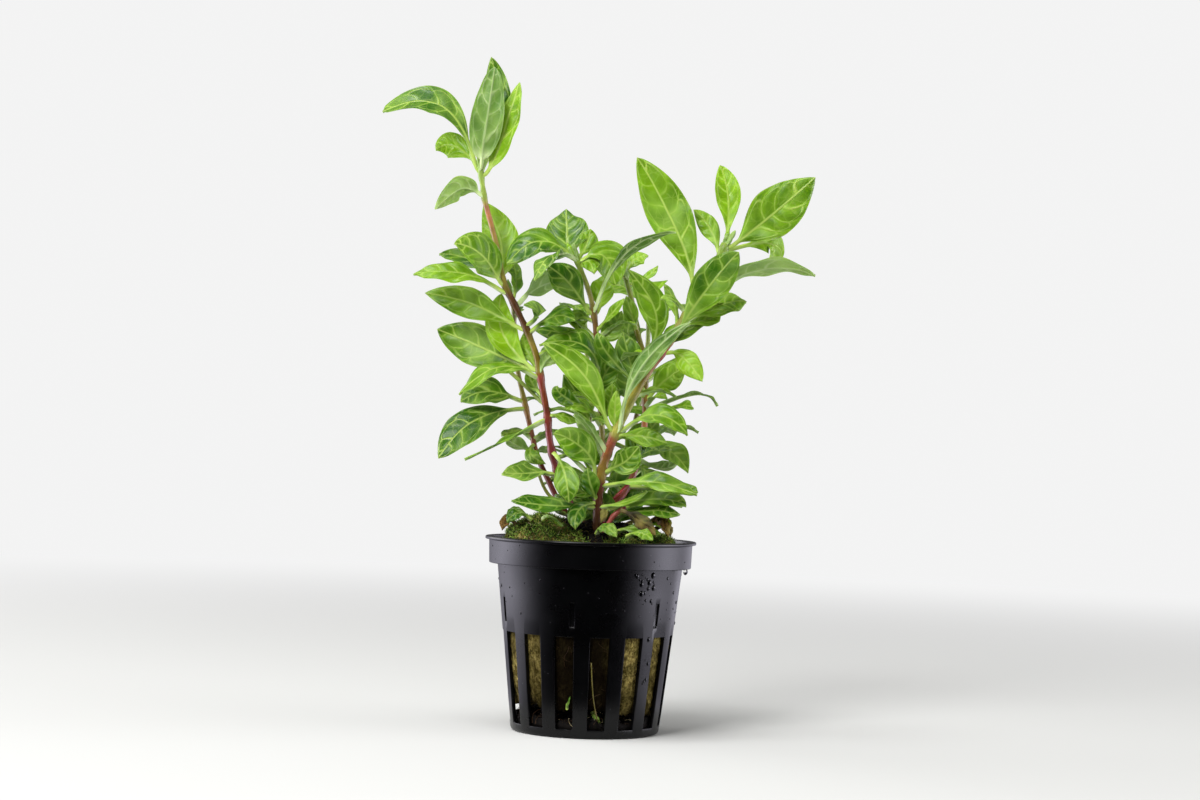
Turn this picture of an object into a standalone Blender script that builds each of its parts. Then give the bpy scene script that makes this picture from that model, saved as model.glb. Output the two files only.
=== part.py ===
"""Potted hygrophila: cuttings rooted in a wool plug, in a black slotted net pot 55 mm across and 50 mm tall.

Metres, +Z up. The origin is the centre of the pot's base, on the surface it stands on, and -Y looks at the viewer.
Sizes and places below are millimetres, turned to metres as each mesh is made.
"""

import math
from collections import namedtuple

import bmesh
import bpy
from mathutils import Vector

MM = 0.001

# The pot's turned profile.
POT_HEIGHT = 50.0
LIP_RADIUS = 27.5
LIP_THICKNESS = 0.8
COLLAR_RADIUS = 26.3
COLLAR_DROP = 6.9
COLLAR_HANG = 0.6
COLLAR_HANG_WALL = 0.8
COLLAR_FLARE = 0.2
WALL_TOP_RADIUS = 24.1
WALL_FOOT_RADIUS = 19.3
WALL = 1.0
FLOOR = 1.4
FOOT_ROUND = 1.3
POT_FACETS = 60
POT_FACET_START = math.radians(3)

# The openings moulded through the pot.
SLOTS = 15
SLOT_SPREAD = math.radians(12)
SLOT_LOW = 2.3
SLOT_HIGH = 25.8
SLOT_REACH = 16.0
CUT_PAST = 1.0
FIRST_SLOT = math.radians(-90 + 8.5)
GROOVES = 6
GROOVE_WIDTH = 1.4
GROOVE_LOW = 28.3
GROOVE_HIGH = 34.5
GROOVE_DEPTH = 0.5
FIRST_GROOVE = math.radians(-90 - 10)
FLOOR_SLOTS = 6
FLOOR_SLOT_WIDTH = 2.4
FLOOR_SLOT_INNER = 7.0
FLOOR_SLOT_OUTER = 15.0

# The wool plug and its mossy mound.
PLUG_FOOT = 8.0
PLUG_SIDE_TOP = 43.0
PLUG_TOP = 47.0
PLUG_GAP = 0.35
PLUG_FACETS = 48
PLUG_SIDE_RINGS = 6
PLUG_TOP_RINGS = (0.98, 0.85, 0.7, 0.54, 0.38, 0.2)
MOUNDS = (
    # centre x, centre y, height, spread
    (-11.5, -1.0, 11.5, 8.5),
    (13.0, -2.0, 4.5, 6.5),
)

# How stems and leaves are drawn.
STEM_SIDES = 8
STEM_RING_STEP = 5.0
STEM_FOOT_CONE = 0.3
STEM_TIP_CONE = 0.5
SOCKET_GAP = 0.35
SOCKET_TOP = 62.0
LEAF_STATIONS = (0.07, 0.17, 0.29, 0.41, 0.53, 0.65, 0.77, 0.89)
LEAF_GAP = 0.35
PETIOLE_SHARE = 0.14
PETIOLE_WIDTH = 1.1
PETIOLE_THICKNESS = 0.9
TIP_THICKNESS = 0.3
FOLD = 0.07

SIDES = {
    "front": Vector((0, -1, 0)),
    "back": Vector((0, 1, 0)),
    "left": Vector((-1, 0, 0)),
    "right": Vector((1, 0, 0)),
    "up": Vector((0, 0, 1)),
}

Stem = namedtuple("Stem", "foot_radius tip_radius colour route")
Leaf = namedtuple("Leaf", "stem name height middle tip width facing")

# Each stem's centreline, from its foot in the plug up to its growing tip.
STEMS = {
    "tall": Stem(1.05, 0.65, "#7c2a2c", [
        (0, -1, 44), (-1.5, -1, 52), (-4.5, -2, 57), (-8, -3, 63), (-10, -4, 69), (-11.5, -5, 75),
        (-12.5, -5.5, 82), (-14, -6, 89), (-15.5, -6, 96), (-18.5, -6, 103.5), (-22.5, -6, 111),
        (-25, -6, 116), (-26.5, -6, 123), (-28.5, -6, 130), (-30.5, -6, 136.5), (-32, -6, 145),
    ]),
    "front": Stem(1.3, 1.0, "#8a7a34", [
        (1.5, -6, 44), (1.5, -7, 52), (1.5, -8, 57.5), (1.5, -9, 63.5), (3, -10, 71), (5.5, -11, 78),
        (9, -12, 86), (13, -12, 93.5), (17.5, -12, 100.5), (22.5, -12, 108.5), (26.5, -12, 116),
        (30.5, -12, 123.5), (32, -12, 127),
    ]),
    "centre": Stem(0.9, 0.7, "#87823a", [
        (0.5, 4, 44), (1, 4, 53), (2, 3, 61), (2.5, 2, 69), (2, 1, 77), (1, 0, 87), (0, -1, 98),
        (-1, -2, 107), (-2.5, -3, 113.5), (-5, -4, 119.5), (-6.5, -5, 123),
    ]),
    "right": Stem(0.95, 0.7, "#8c7c3c", [
        (4.5, 1.5, 44), (5, 1.5, 53), (7, 3, 59), (10, 4, 65.5), (12, 4, 72.5), (13, 4, 80),
        (13, 4, 88), (12.5, 3, 97), (10, 2, 105), (8.5, 1, 112.5), (6.5, 0, 119),
    ]),
    "left": Stem(0.8, 0.6, "#93393a", [
        (-2.5, 4.5, 44), (-4, 5, 52.5), (-8.5, 7, 58.5), (-12, 8, 65), (-15, 9, 71), (-17, 10, 78),
        (-19, 10, 85.5), (-21, 10, 93.5), (-22, 9, 101.5), (-22.5, 8, 108.5), (-23, 7, 113.5),
    ]),
    "low": Stem(0.95, 0.75, "#8e2f3c", [
        (3, -2.5, 44), (3.5, -2.5, 53), (5.5, -2, 58.5), (8.5, -1, 62.5), (10.5, 0, 67), (11.5, 0, 71),
        (12, 0, 74),
    ]),
    "back_right": Stem(0.9, 0.6, "#86733a", [
        (4, 9, 44), (5, 10, 54), (7, 14, 64), (10, 18, 77), (12.5, 20, 91), (13.5, 20, 104.5), (13, 19, 115),
    ]),
    "back_left": Stem(0.9, 0.6, "#86733a", [
        (-1, 10, 44), (-1, 11, 54), (-1, 16, 64), (-1.5, 20, 76), (-2, 22, 90), (-3, 22, 100), (-4, 21, 108),
    ]),
}

# Each leaf: its stem, its name, the height at which it leaves the stem, the middle and the tip of its midrib,
# its width, and the way that its upper side looks.
LEAVES = (
    Leaf("tall", "top_left", 144, (-42, -5, 160.5), (-58, -4, 159), 7.5, "front up"),
    Leaf("tall", "top_pale", 145, (-30.5, -10, 157.5), (-29, -9, 171), 8.5, "back"),
    Leaf("tall", "top_dark", 145, (-28.5, -2, 161), (-30.5, 0, 175), 8, "front"),
    Leaf("tall", "top_right", 143, (-26, -7.5, 155), (-22.5, -7, 167.5), 7, "front front left"),
    Leaf("tall", "upper_pale", 138, (-36, -9, 139.5), (-43, -11, 133.5), 7, "back up"),
    Leaf("tall", "upper_back", 116, (-26, -1, 125.5), (-31, 2, 137), 10, "front"),
    Leaf("tall", "upper_left", 115, (-30.5, -11, 122), (-37.5, -15, 124.5), 10.5, "front front up"),
    Leaf("tall", "middle_left", 113, (-36.5, -9, 117.5), (-48, -10, 116.5), 7.5, "front up"),
    Leaf("tall", "long_left", 103.5, (-32, -4, 109.5), (-45.5, -1, 112.5), 8, "front"),
    Leaf("tall", "broad_left", 93, (-30.5, 4, 99), (-42.5, 6, 103.5), 10.5, "front"),
    Leaf("tall", "bright", 93, (-24.5, -1.5, 102), (-25.5, -2, 113), 8, "front"),
    Leaf("tall", "pale_right", 110, (-15, 3, 116), (-6.5, 6, 118.5), 9, "back up"),
    Leaf("tall", "arched", 91.5, (-25, -10, 93.5), (-35, -12, 86), 8, "up up front"),
    Leaf("tall", "narrow", 80.5, (-22.5, -10, 75), (-33, -12, 69.5), 5, "up"),
    Leaf("tall", "ragged", 66.5, (-16.5, -8, 66.5), (-23.5, -10, 66), 7, "front up"),
    Leaf("tall", "hanging", 72, (-7, -14, 66), (-6, -15, 59.5), 6.5, "front"),
    Leaf("left", "pale", 85.5, (-28, 6, 87.5), (-35.5, 4, 84.5), 8, "front up"),
    Leaf("left", "veined", 83.5, (-31, 3, 80), (-40.5, 0, 69.5), 9, "front up"),
    Leaf("centre", "crown", 123, (-9, -2, 129.5), (-9.5, 4, 136), 11.5, "front"),
    Leaf("centre", "top_left", 122.5, (-15.5, -8, 126.5), (-24, -11, 120), 10, "front up"),
    Leaf("centre", "drooping", 122, (-12.5, -13, 122.5), (-16.5, -17, 115.5), 7, "left front"),
    Leaf("centre", "top_right", 122, (0.5, -5, 123.5), (4, -4.5, 116), 9, "front up"),
    Leaf("centre", "dark_left", 108.5, (-7.5, -6, 115.5), (-14, -7, 120.5), 8, "front"),
    Leaf("centre", "bright", 108.5, (0.5, 1, 114), (1, 3, 119), 6.5, "front"),
    Leaf("centre", "arching", 109.5, (6.5, -12.5, 124), (19, -14, 129.5), 7, "up up back"),
    Leaf("centre", "dark_arch", 87.5, (-3, -8, 99.5), (-15, -9, 99.5), 8, "front up"),
    Leaf("front", "low_left", 66, (-3, -12, 73.5), (-10.5, -13, 77), 8, "front"),
    Leaf("front", "low_inner", 67.5, (7.5, -13, 70), (11.5, -14, 74.5), 7, "front"),
    Leaf("front", "low_right", 64, (14.5, -16, 65.5), (26.5, -19, 62.5), 6, "up front"),
    Leaf("front", "long_left", 78, (-2, -14, 90.5), (-14, -13, 100), 8.5, "front"),
    Leaf("front", "silver", 78, (11, -17, 94), (23.5, -17, 106.5), 6.5, "back"),
    Leaf("front", "shelf_right", 78, (16, -18, 82.5), (23.5, -20, 77.5), 7.5, "up front"),
    Leaf("front", "hanging_right", 98.5, (22.5, -13, 97), (27, -15, 91.5), 7.5, "front"),
    Leaf("front", "long_right", 101.5, (27, -18, 114.5), (35, -19, 124.5), 9.5, "front"),
    Leaf("front", "arching_right", 109, (39.5, -13, 120.5), (55, -14, 119.5), 7, "up up back"),
    Leaf("front", "upright", 114, (18.5, -9, 132), (8.5, -8, 149), 9, "front"),
    Leaf("front", "top_inner", 126.5, (32.5, -8, 138.5), (30, -6, 148), 6.5, "front"),
    Leaf("front", "top_big", 126, (42, -15, 133.5), (54, -16, 144.5), 12.5, "front"),
    Leaf("front", "top_folded", 125.5, (43.5, -7, 128), (43, -9, 122), 7, "front right"),
    Leaf("right", "veined", 98.5, (15, -2, 108.5), (7, -3, 120.5), 7.5, "front"),
    Leaf("right", "dark", 87.5, (8.5, -3, 96.5), (6.5, -4, 104), 7.5, "front"),
    Leaf("right", "outer", 87, (18, 0, 92), (23, -2, 95.5), 7, "front"),
    Leaf("low", "outer", 73, (19.5, -4, 73.5), (24.5, -7, 68), 7, "up front"),
    Leaf("back_right", "low", 75, (16, 27, 80), (22, 35, 78), 9, "up"),
    Leaf("back_right", "inner", 92, (8, 28, 98), (2, 36, 97), 9, "up"),
    Leaf("back_right", "top", 113, (14, 26, 119), (13, 34, 118), 9, "up"),
    Leaf("back_right", "top_left", 113, (7, 20, 117), (0, 22, 118), 8, "up front"),
    Leaf("back_left", "low", 72, (-9, 27, 77), (-17, 33, 74), 9, "up"),
    Leaf("back_left", "inner", 90, (3, 29, 95), (6, 37, 92), 9, "up"),
    Leaf("back_left", "top", 106, (-6, 28, 112), (-10, 35, 111), 9, "up"),
)

BLACK_PLASTIC = "#17181b"
WOOL = "#7a7a38"
LEAF_UPPER = "#5f9a1e"


def clear_scene():
    for obj in list(bpy.data.objects):
        bpy.data.objects.remove(obj, do_unlink=True)


def linear(hex_colour):
    """An sRGB hex colour as the linear values that a shader takes."""
    channels = [int(hex_colour[i : i + 2], 16) / 255 for i in (1, 3, 5)]
    return [c / 12.92 if c <= 0.04045 else ((c + 0.055) / 1.055) ** 2.4 for c in channels] + [1.0]


def material(name, colour, roughness):
    made = bpy.data.materials.new(name)
    made.use_nodes = True
    shader = made.node_tree.nodes["Principled BSDF"]
    shader.inputs["Base Color"].default_value = linear(colour)
    shader.inputs["Roughness"].default_value = roughness
    shader.inputs["Metallic"].default_value = 0.0
    return made


def add_object(name, points, faces, finish=None):
    """A mesh object from points in millimetres, with its faces turned outwards."""
    mesh = bpy.data.meshes.new(name)
    mesh.from_pydata([tuple(p * MM for p in point) for point in points], [], faces)
    editing = bmesh.new()
    editing.from_mesh(mesh)
    bmesh.ops.recalc_face_normals(editing, faces=editing.faces)
    editing.to_mesh(mesh)
    editing.free()
    obj = bpy.data.objects.new(name, mesh)
    bpy.context.scene.collection.objects.link(obj)
    if finish:
        mesh.materials.append(finish)
        mesh.shade_smooth()
        mesh.set_sharp_from_angle(angle=math.radians(35))
    return obj


def add_cutter(name, points, faces):
    cutter = add_object(name, points, faces)
    cutter.hide_render = True
    cutter.display_type = "WIRE"
    return cutter


def cut(obj, cutter):
    modifier = obj.modifiers.new(cutter.name, "BOOLEAN")
    modifier.operation = "DIFFERENCE"
    modifier.solver = "EXACT"
    modifier.object = cutter


def polar(radius, angle, z):
    return (radius * math.cos(angle), radius * math.sin(angle), z)


def turned(rings, count, poles):
    """Faces of a closed surface: rings of equal count, closed at each end by a pole."""
    foot_pole, top_pole = poles
    faces = []
    for ring, after in zip(rings, rings[1:]):
        for i in range(count):
            j = (i + 1) % count
            faces.append((ring + i, ring + j, after + j, after + i))
    for i in range(count):
        j = (i + 1) % count
        faces.append((foot_pole, rings[0] + j, rings[0] + i))
        faces.append((top_pole, rings[-1] + i, rings[-1] + j))
    return faces


def wall_radius(z):
    """The outside of the pot's tapered wall at a height."""
    rise = z / (POT_HEIGHT - COLLAR_DROP)
    return WALL_FOOT_RADIUS + (WALL_TOP_RADIUS - WALL_FOOT_RADIUS) * rise


def pot_profile():
    """(radius, height) pairs from the underside's rim, up the outside, over the lip and down the inside."""
    step = POT_HEIGHT - COLLAR_DROP
    corner = wall_radius(FOOT_ROUND) - FOOT_ROUND
    rounding = [
        (corner + FOOT_ROUND * math.sin(a), FOOT_ROUND - FOOT_ROUND * math.cos(a))
        for a in (0.0, math.pi / 6, math.pi / 3, math.pi / 2)
    ]
    return rounding + [
        (wall_radius(step), step + COLLAR_HANG),
        (COLLAR_RADIUS - COLLAR_HANG_WALL, step + COLLAR_HANG),
        (COLLAR_RADIUS - COLLAR_HANG_WALL, step),
        (COLLAR_RADIUS, step),
        (COLLAR_RADIUS + COLLAR_FLARE, POT_HEIGHT - LIP_THICKNESS),
        (LIP_RADIUS, POT_HEIGHT - LIP_THICKNESS),
        (LIP_RADIUS, POT_HEIGHT),
        (COLLAR_RADIUS + COLLAR_FLARE - WALL, POT_HEIGHT),
        (COLLAR_RADIUS - WALL, step + COLLAR_HANG + WALL),
        (wall_radius(step) - WALL, step + COLLAR_HANG + WALL),
        (wall_radius(FLOOR) - WALL, FLOOR),
    ]


def wedge(points, faces, angle, spread, inner, outer, low, high):
    """Adds a block that widens outwards, for a slot that follows the wall."""
    start = len(points)
    for z in (low, high):
        for radius, turn in ((inner, -0.5), (outer, -0.5), (outer, 0.5), (inner, 0.5)):
            points.append(polar(radius, angle + turn * spread, z))
    close_block(faces, start)


def bar(points, faces, angle, width, inner, outer, heights):
    """Adds a straight block that points outwards, from its inner radius at each of its two heights."""
    start = len(points)
    along = Vector((math.cos(angle), math.sin(angle), 0))
    across = Vector((-math.sin(angle), math.cos(angle), 0))
    for z, start_radius in zip(heights, inner):
        for radius, side in ((start_radius, -0.5), (outer, -0.5), (outer, 0.5), (start_radius, 0.5)):
            points.append(tuple(along * radius + across * side * width + Vector((0, 0, z))))
    close_block(faces, start)


def close_block(faces, start):
    faces.append(tuple(start + i for i in (3, 2, 1, 0)))
    faces.append(tuple(start + i for i in (4, 5, 6, 7)))
    for i in range(4):
        j = (i + 1) % 4
        faces.append((start + i, start + j, start + 4 + j, start + 4 + i))


def pot_cutter():
    points, faces = [], []
    for i in range(SLOTS):
        angle = FIRST_SLOT + i * math.tau / SLOTS
        wedge(points, faces, angle, SLOT_SPREAD, SLOT_REACH, LIP_RADIUS, SLOT_LOW, SLOT_HIGH)
    groove = (GROOVE_LOW, GROOVE_HIGH)
    groove_floor = [wall_radius(z) - GROOVE_DEPTH for z in groove]
    for i in range(GROOVES):
        angle = FIRST_GROOVE + i * math.tau / GROOVES
        bar(points, faces, angle, GROOVE_WIDTH, groove_floor, LIP_RADIUS, groove)
    for i in range(FLOOR_SLOTS):
        angle = FIRST_SLOT + i * math.tau / FLOOR_SLOTS
        inner = (FLOOR_SLOT_INNER, FLOOR_SLOT_INNER)
        bar(points, faces, angle, FLOOR_SLOT_WIDTH, inner, FLOOR_SLOT_OUTER, (-CUT_PAST, FLOOR + CUT_PAST))
    return add_cutter("pot_openings", points, faces)


def make_pot():
    profile = pot_profile()
    first = FIRST_SLOT + POT_FACET_START
    points = []
    for radius, z in profile:
        for i in range(POT_FACETS):
            points.append(polar(radius, first + i * math.tau / POT_FACETS, z))
    points += [(0, 0, 0), (0, 0, FLOOR)]
    rings = [i * POT_FACETS for i in range(len(profile))]
    faces = turned(rings, POT_FACETS, (len(points) - 2, len(points) - 1))
    pot = add_object("net_pot", points, faces, material("black_plastic", BLACK_PLASTIC, 0.35))
    cut(pot, pot_cutter())


def mound_height(x, y):
    height = PLUG_TOP
    for centre_x, centre_y, rise, spread in MOUNDS:
        away = (x - centre_x) ** 2 + (y - centre_y) ** 2
        height += rise * math.exp(-away / (2 * spread**2))
    return height


def make_plug():
    """The wool, as tall as it is packed, with the mounds of its mossy top."""
    points = []
    rise = (PLUG_SIDE_TOP - PLUG_FOOT) / (PLUG_SIDE_RINGS - 1)
    side = [PLUG_FOOT + i * rise for i in range(PLUG_SIDE_RINGS)]
    top_radius = wall_radius(PLUG_SIDE_TOP) - WALL - PLUG_GAP
    angles = [i * math.tau / PLUG_FACETS for i in range(PLUG_FACETS)]
    for z in side:
        radius = wall_radius(z) - WALL - PLUG_GAP
        points += [polar(radius, angle, z) for angle in angles]
    for share in PLUG_TOP_RINGS:
        for angle in angles:
            x, y, _ = polar(top_radius * share, angle, 0)
            points.append((x, y, mound_height(x, y)))
    points += [(0, 0, PLUG_FOOT), (0, 0, mound_height(0, 0))]
    rings = [i * PLUG_FACETS for i in range(PLUG_SIDE_RINGS + len(PLUG_TOP_RINGS))]
    faces = turned(rings, PLUG_FACETS, (len(points) - 2, len(points) - 1))
    plug = add_object("wool_plug", points, faces, material("mineral_wool", WOOL, 0.95))
    for name, stem in STEMS.items():
        cut(plug, socket_cutter(name, stem))


def smooth_route(route, step):
    """Points about a step apart on a smooth curve through the route's own points."""
    knots = [Vector(p) for p in route]
    knots = [2 * knots[0] - knots[1]] + knots + [2 * knots[-1] - knots[-2]]
    line = []
    for a, b, c, d in zip(knots, knots[1:], knots[2:], knots[3:]):
        pieces = max(1, round((c - b).length / step))
        for i in range(pieces):
            t = i / pieces
            line.append(
                0.5 * (2 * b + (c - a) * t + (2 * a - 5 * b + 4 * c - d) * t**2 + (3 * b - a - 3 * c + d) * t**3)
            )
    return line + [knots[-2]]


def tube(line, radii, sides):
    """Points and faces of a round bar along a line, with a low cone on each end."""
    points = []
    for i, (centre, radius) in enumerate(zip(line, radii)):
        along = (line[min(i + 1, len(line) - 1)] - line[max(i - 1, 0)]).normalized()
        across = along.cross(Vector((0, 1, 0))).normalized()
        other = along.cross(across)
        for k in range(sides):
            angle = k * math.tau / sides
            points.append(centre + radius * (math.cos(angle) * across + math.sin(angle) * other))
    foot_out = (line[0] - line[1]).normalized()
    tip_out = (line[-1] - line[-2]).normalized()
    points.append(line[0] + foot_out * radii[0] * STEM_FOOT_CONE)
    points.append(line[-1] + tip_out * radii[-1] * STEM_TIP_CONE)
    rings = [i * sides for i in range(len(line))]
    return points, turned(rings, sides, (len(points) - 2, len(points) - 1))


def stem_radii(stem, line):
    last = len(line) - 1
    return [stem.foot_radius + (stem.tip_radius - stem.foot_radius) * i / last for i in range(last + 1)]


def make_stem(name, stem):
    line = smooth_route(stem.route, STEM_RING_STEP)
    points, faces = tube(line, stem_radii(stem, line), STEM_SIDES)
    add_object("stem_" + name, points, faces, material("stem_" + name, stem.colour, 0.45))


def socket_cutter(name, stem):
    """The hole that a cutting's foot makes in the wool, a little wider than the stem."""
    line = [p for p in smooth_route(stem.route, STEM_RING_STEP) if p.z < SOCKET_TOP]
    line[0] = line[0] + (line[0] - line[1]).normalized() * SOCKET_GAP
    radii = [stem.foot_radius + SOCKET_GAP] * len(line)
    points, faces = tube(line, radii, STEM_SIDES)
    return add_cutter("socket_" + name, points, faces)


def stem_at(stem, height):
    """The stem's centre and radius at a height."""
    line = smooth_route(stem.route, 1.0)
    radii = stem_radii(stem, line)
    for i, (low, high) in enumerate(zip(line, line[1:])):
        if low.z <= height <= high.z:
            share = (height - low.z) / (high.z - low.z)
            return low.lerp(high, share), radii[i]
    return line[-1], radii[-1]


def leaf_width(leaf, share):
    """The blade's width along its length: a narrow stalk, then a long oval that ends in a point."""
    if share <= PETIOLE_SHARE:
        return PETIOLE_WIDTH
    along = (share - PETIOLE_SHARE) / (1 - PETIOLE_SHARE)
    blade = leaf.width * math.sin(math.pi * along**0.95) ** 0.85
    return max(blade, PETIOLE_WIDTH * (1 - along))


def make_leaf(leaf, finish):
    """A thin folded blade: at each station its left edge, its upper midrib, its right edge and its lower midrib."""
    stem = STEMS[leaf.stem]
    centre, radius = stem_at(stem, leaf.height)
    middle, tip = Vector(leaf.middle), Vector(leaf.tip)
    outwards = Vector((middle.x - centre.x, middle.y - centre.y, 0)).normalized()
    base = centre + outwards * (radius + LEAF_GAP)
    bend = 2 * middle - (base + tip) / 2
    facing = sum((SIDES[word] for word in leaf.facing.split()), Vector())
    points = []
    for share in LEAF_STATIONS:
        on_rib = (1 - share) ** 2 * base + 2 * share * (1 - share) * bend + share**2 * tip
        along = ((1 - share) * (bend - base) + share * (tip - bend)).normalized()
        normal = (facing - facing.dot(along) * along).normalized()
        across = along.cross(normal)
        half = leaf_width(leaf, share) / 2
        thick = (PETIOLE_THICKNESS + (TIP_THICKNESS - PETIOLE_THICKNESS) * share) / 2
        lifted = on_rib + normal * FOLD * 2 * (half - PETIOLE_WIDTH / 2)
        points += [lifted - across * half, on_rib + normal * thick, lifted + across * half, on_rib - normal * thick]
    points += [base, tip]
    rings = [i * 4 for i in range(len(LEAF_STATIONS))]
    faces = turned(rings, 4, (len(points) - 2, len(points) - 1))
    add_object(f"leaf_{leaf.stem}_{leaf.name}", points, faces, finish)


def main():
    clear_scene()
    make_pot()
    make_plug()
    for name, stem in STEMS.items():
        make_stem(name, stem)
    for leaf in LEAVES:
        make_leaf(leaf, material(f"leaf_{leaf.stem}_{leaf.name}", LEAF_UPPER, 0.4))


main()
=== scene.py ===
"""Potted hygrophila in a slotted net pot: the finished plant, wool, pot and studio.

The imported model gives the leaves' and stems' places. Lengths in the tables are millimetres. Seen from the
camera, x runs to the right, y away from it and z up.
"""

import math
import random

import bmesh
import bpy
from mathutils import Matrix, Quaternion, Vector, noise


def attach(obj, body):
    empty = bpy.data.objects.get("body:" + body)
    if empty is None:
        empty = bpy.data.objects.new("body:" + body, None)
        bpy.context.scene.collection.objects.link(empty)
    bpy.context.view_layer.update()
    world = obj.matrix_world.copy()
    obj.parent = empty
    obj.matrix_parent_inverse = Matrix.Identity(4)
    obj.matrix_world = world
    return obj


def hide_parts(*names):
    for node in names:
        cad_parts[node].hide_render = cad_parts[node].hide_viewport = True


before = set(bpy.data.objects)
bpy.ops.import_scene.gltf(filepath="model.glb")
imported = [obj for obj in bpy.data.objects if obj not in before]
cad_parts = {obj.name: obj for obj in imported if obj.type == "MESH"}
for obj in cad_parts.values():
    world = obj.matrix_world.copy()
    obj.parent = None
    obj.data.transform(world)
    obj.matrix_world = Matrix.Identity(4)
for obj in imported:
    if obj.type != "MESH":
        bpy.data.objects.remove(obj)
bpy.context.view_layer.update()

MM = 0.001

# The pot, as the solid model has it.
POT_HEIGHT = 50.0
LIP_RADIUS = 27.5
LIP_THICKNESS = 0.8
COLLAR_RADIUS = 26.3
COLLAR_FOOT = 43.1
COLLAR_HANG = 0.6
COLLAR_FLARE = 0.2
SKIRT_WALL = 0.8
WALL_TOP_RADIUS = 24.1
WALL_FOOT_RADIUS = 19.3
WALL = 1.0
FLOOR = 1.4
POT_FACETS = 240

# Its openings. The slots are drawn a little wider than the solid's, and every edge of an opening is
# rounded.
SLOTS = 15
SLOT_SPREAD = math.radians(13.2)
SLOT_LOW = 2.3
SLOT_HIGH = 25.8
SLOT_INNER = 16.0
FIRST_SLOT = math.radians(-90 + 8.5)
GROOVES = 6
GROOVE_WIDTH = 1.4
GROOVE_LOW = 28.3
GROOVE_HIGH = 34.5
GROOVE_DEPTH = 0.5
FIRST_GROOVE = math.radians(-90 - 10.3)
FLOOR_SLOTS = 6
FLOOR_SLOT_INNER = 7.0
FLOOR_SLOT_OUTER = 15.0
FLOOR_SLOT_WIDTH = 2.4
CUT_OUTER = 27.5
CUT_PAST = 1.0
EDGE_ROUNDING = 0.12
SHARP_EDGE = math.radians(60)

# The wool plug, and the mounds of its top: centre x and y, rise and spread.
PLUG_FOOT = 8.0
PLUG_SHOULDER = 42.0
PLUG_TOP = 47.0
PLUG_AROUND = 240
PLUG_SIDE_ROWS = 72
PLUG_TOP_ROWS = 30
MOUNDS = ((-12.5, -2.0, 9.2, 8.6), (13.5, -4.0, 5.8, 8.0), (3.0, -3.0, 4.0, 4.5))
# How dark the plug's stains and its painted shade may get, from 0 to 1.
DARKEST_STAIN_AND_SHADE = 0.985
MAT_AROUND = 150
MAT_ROWS = 22

# What is strewn on the plug and under it: piece, where it lies, shape, finish, how many to the square
# metre, length and thickness, how far it leans out of the surface, how far it bends, its seed, the size
# of its patches, and how much of the ground stays bare, from 0 to 1.
LITTER = (
    ("wool_fibres", "bright side", "fibre", "wool", 1.5e6, 2.2, 0.05, 0.5, 0.5, 3, 5.0, 0.0),
    ("side_roots", "rooted side", "fibre", "brown root", 6.0e4, 4.0, 0.06, 0.4, 0.8, 4, 5.0, 0.0),
    ("dark_moss", "top", "blade", "dark moss", 5.0e6, 1.5, 0.2, 2.2, 0.0, 5, 4.0, 0.35),
    ("green_moss", "top", "blade", "bright moss", 4.5e6, 1.7, 0.19, 2.2, 0.0, 6, 3.0, 0.5),
    ("olive_moss", "top", "blade", "olive moss", 4.0e6, 1.5, 0.2, 2.4, 0.0, 8, 5.0, 0.5),
    ("top_fibres", "top", "fibre", "wool", 1.6e6, 2.6, 0.05, 1.3, 0.7, 9, 3.0, 0.45),
    ("pale_tufts", "top", "fibre", "pale root", 1.6e6, 1.1, 0.07, 1.6, 0.3, 11, 2.5, 0.5),
    ("peat_crumbs", "between stems", "crumb", "peat", 2.6e6, 1.0, 0.62, 3.0, 0.0, 2, 5.0, 0.0),
    ("top_roots", "between stems", "fibre", "brown root", 5.0e5, 4.0, 0.09, 0.9, 1.0, 10, 5.0, 0.0),
    ("mat_crumbs", "root mat", "crumb", "peat", 9.0e5, 1.0, 0.55, 3.0, 0.0, 12, 5.0, 0.0),
    ("pale_roots", "root mat", "fibre", "pale root", 6.0e4, 5.0, 0.08, 1.4, 1.4, 13, 5.0, 0.0),
    ("brown_roots", "root mat", "fibre", "brown root", 2.4e5, 5.0, 0.1, 1.6, 1.4, 14, 5.0, 0.0),
)

# Water on the pot's wall: where each wet patch starts and ends in degrees and in height, drops to the
# square metre, and their radius.
WET_PATCHES = (
    ("drops_right", -61, -45, 33.5, 42.6, 3.6e5, 0.7),
    ("drops_right_small", -70, -38, 28, 42.6, 7.0e4, 0.32),
    ("drops_rib", -46.5, -42, 14, 26, 2.6e5, 0.7),
    ("drops_front", -86, -66, 30, 38, 1.2e5, 0.28),
    ("drops_left", -136, -110, 30, 42.6, 3.0e4, 0.3),
    ("drops_far_right", -38, 12, 28, 42.5, 6.0e4, 0.45),
    ("drops_back", 40, 222, 28, 42.5, 4.0e4, 0.45),
)
# The same for the collar, all round, and the angle of the one drop that hangs from its edge.
COLLAR_DROPS = ("drops_collar", 43.6, 48.6, 3.5e4, 0.3)
HANGING_DROP = math.radians(-19)

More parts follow.
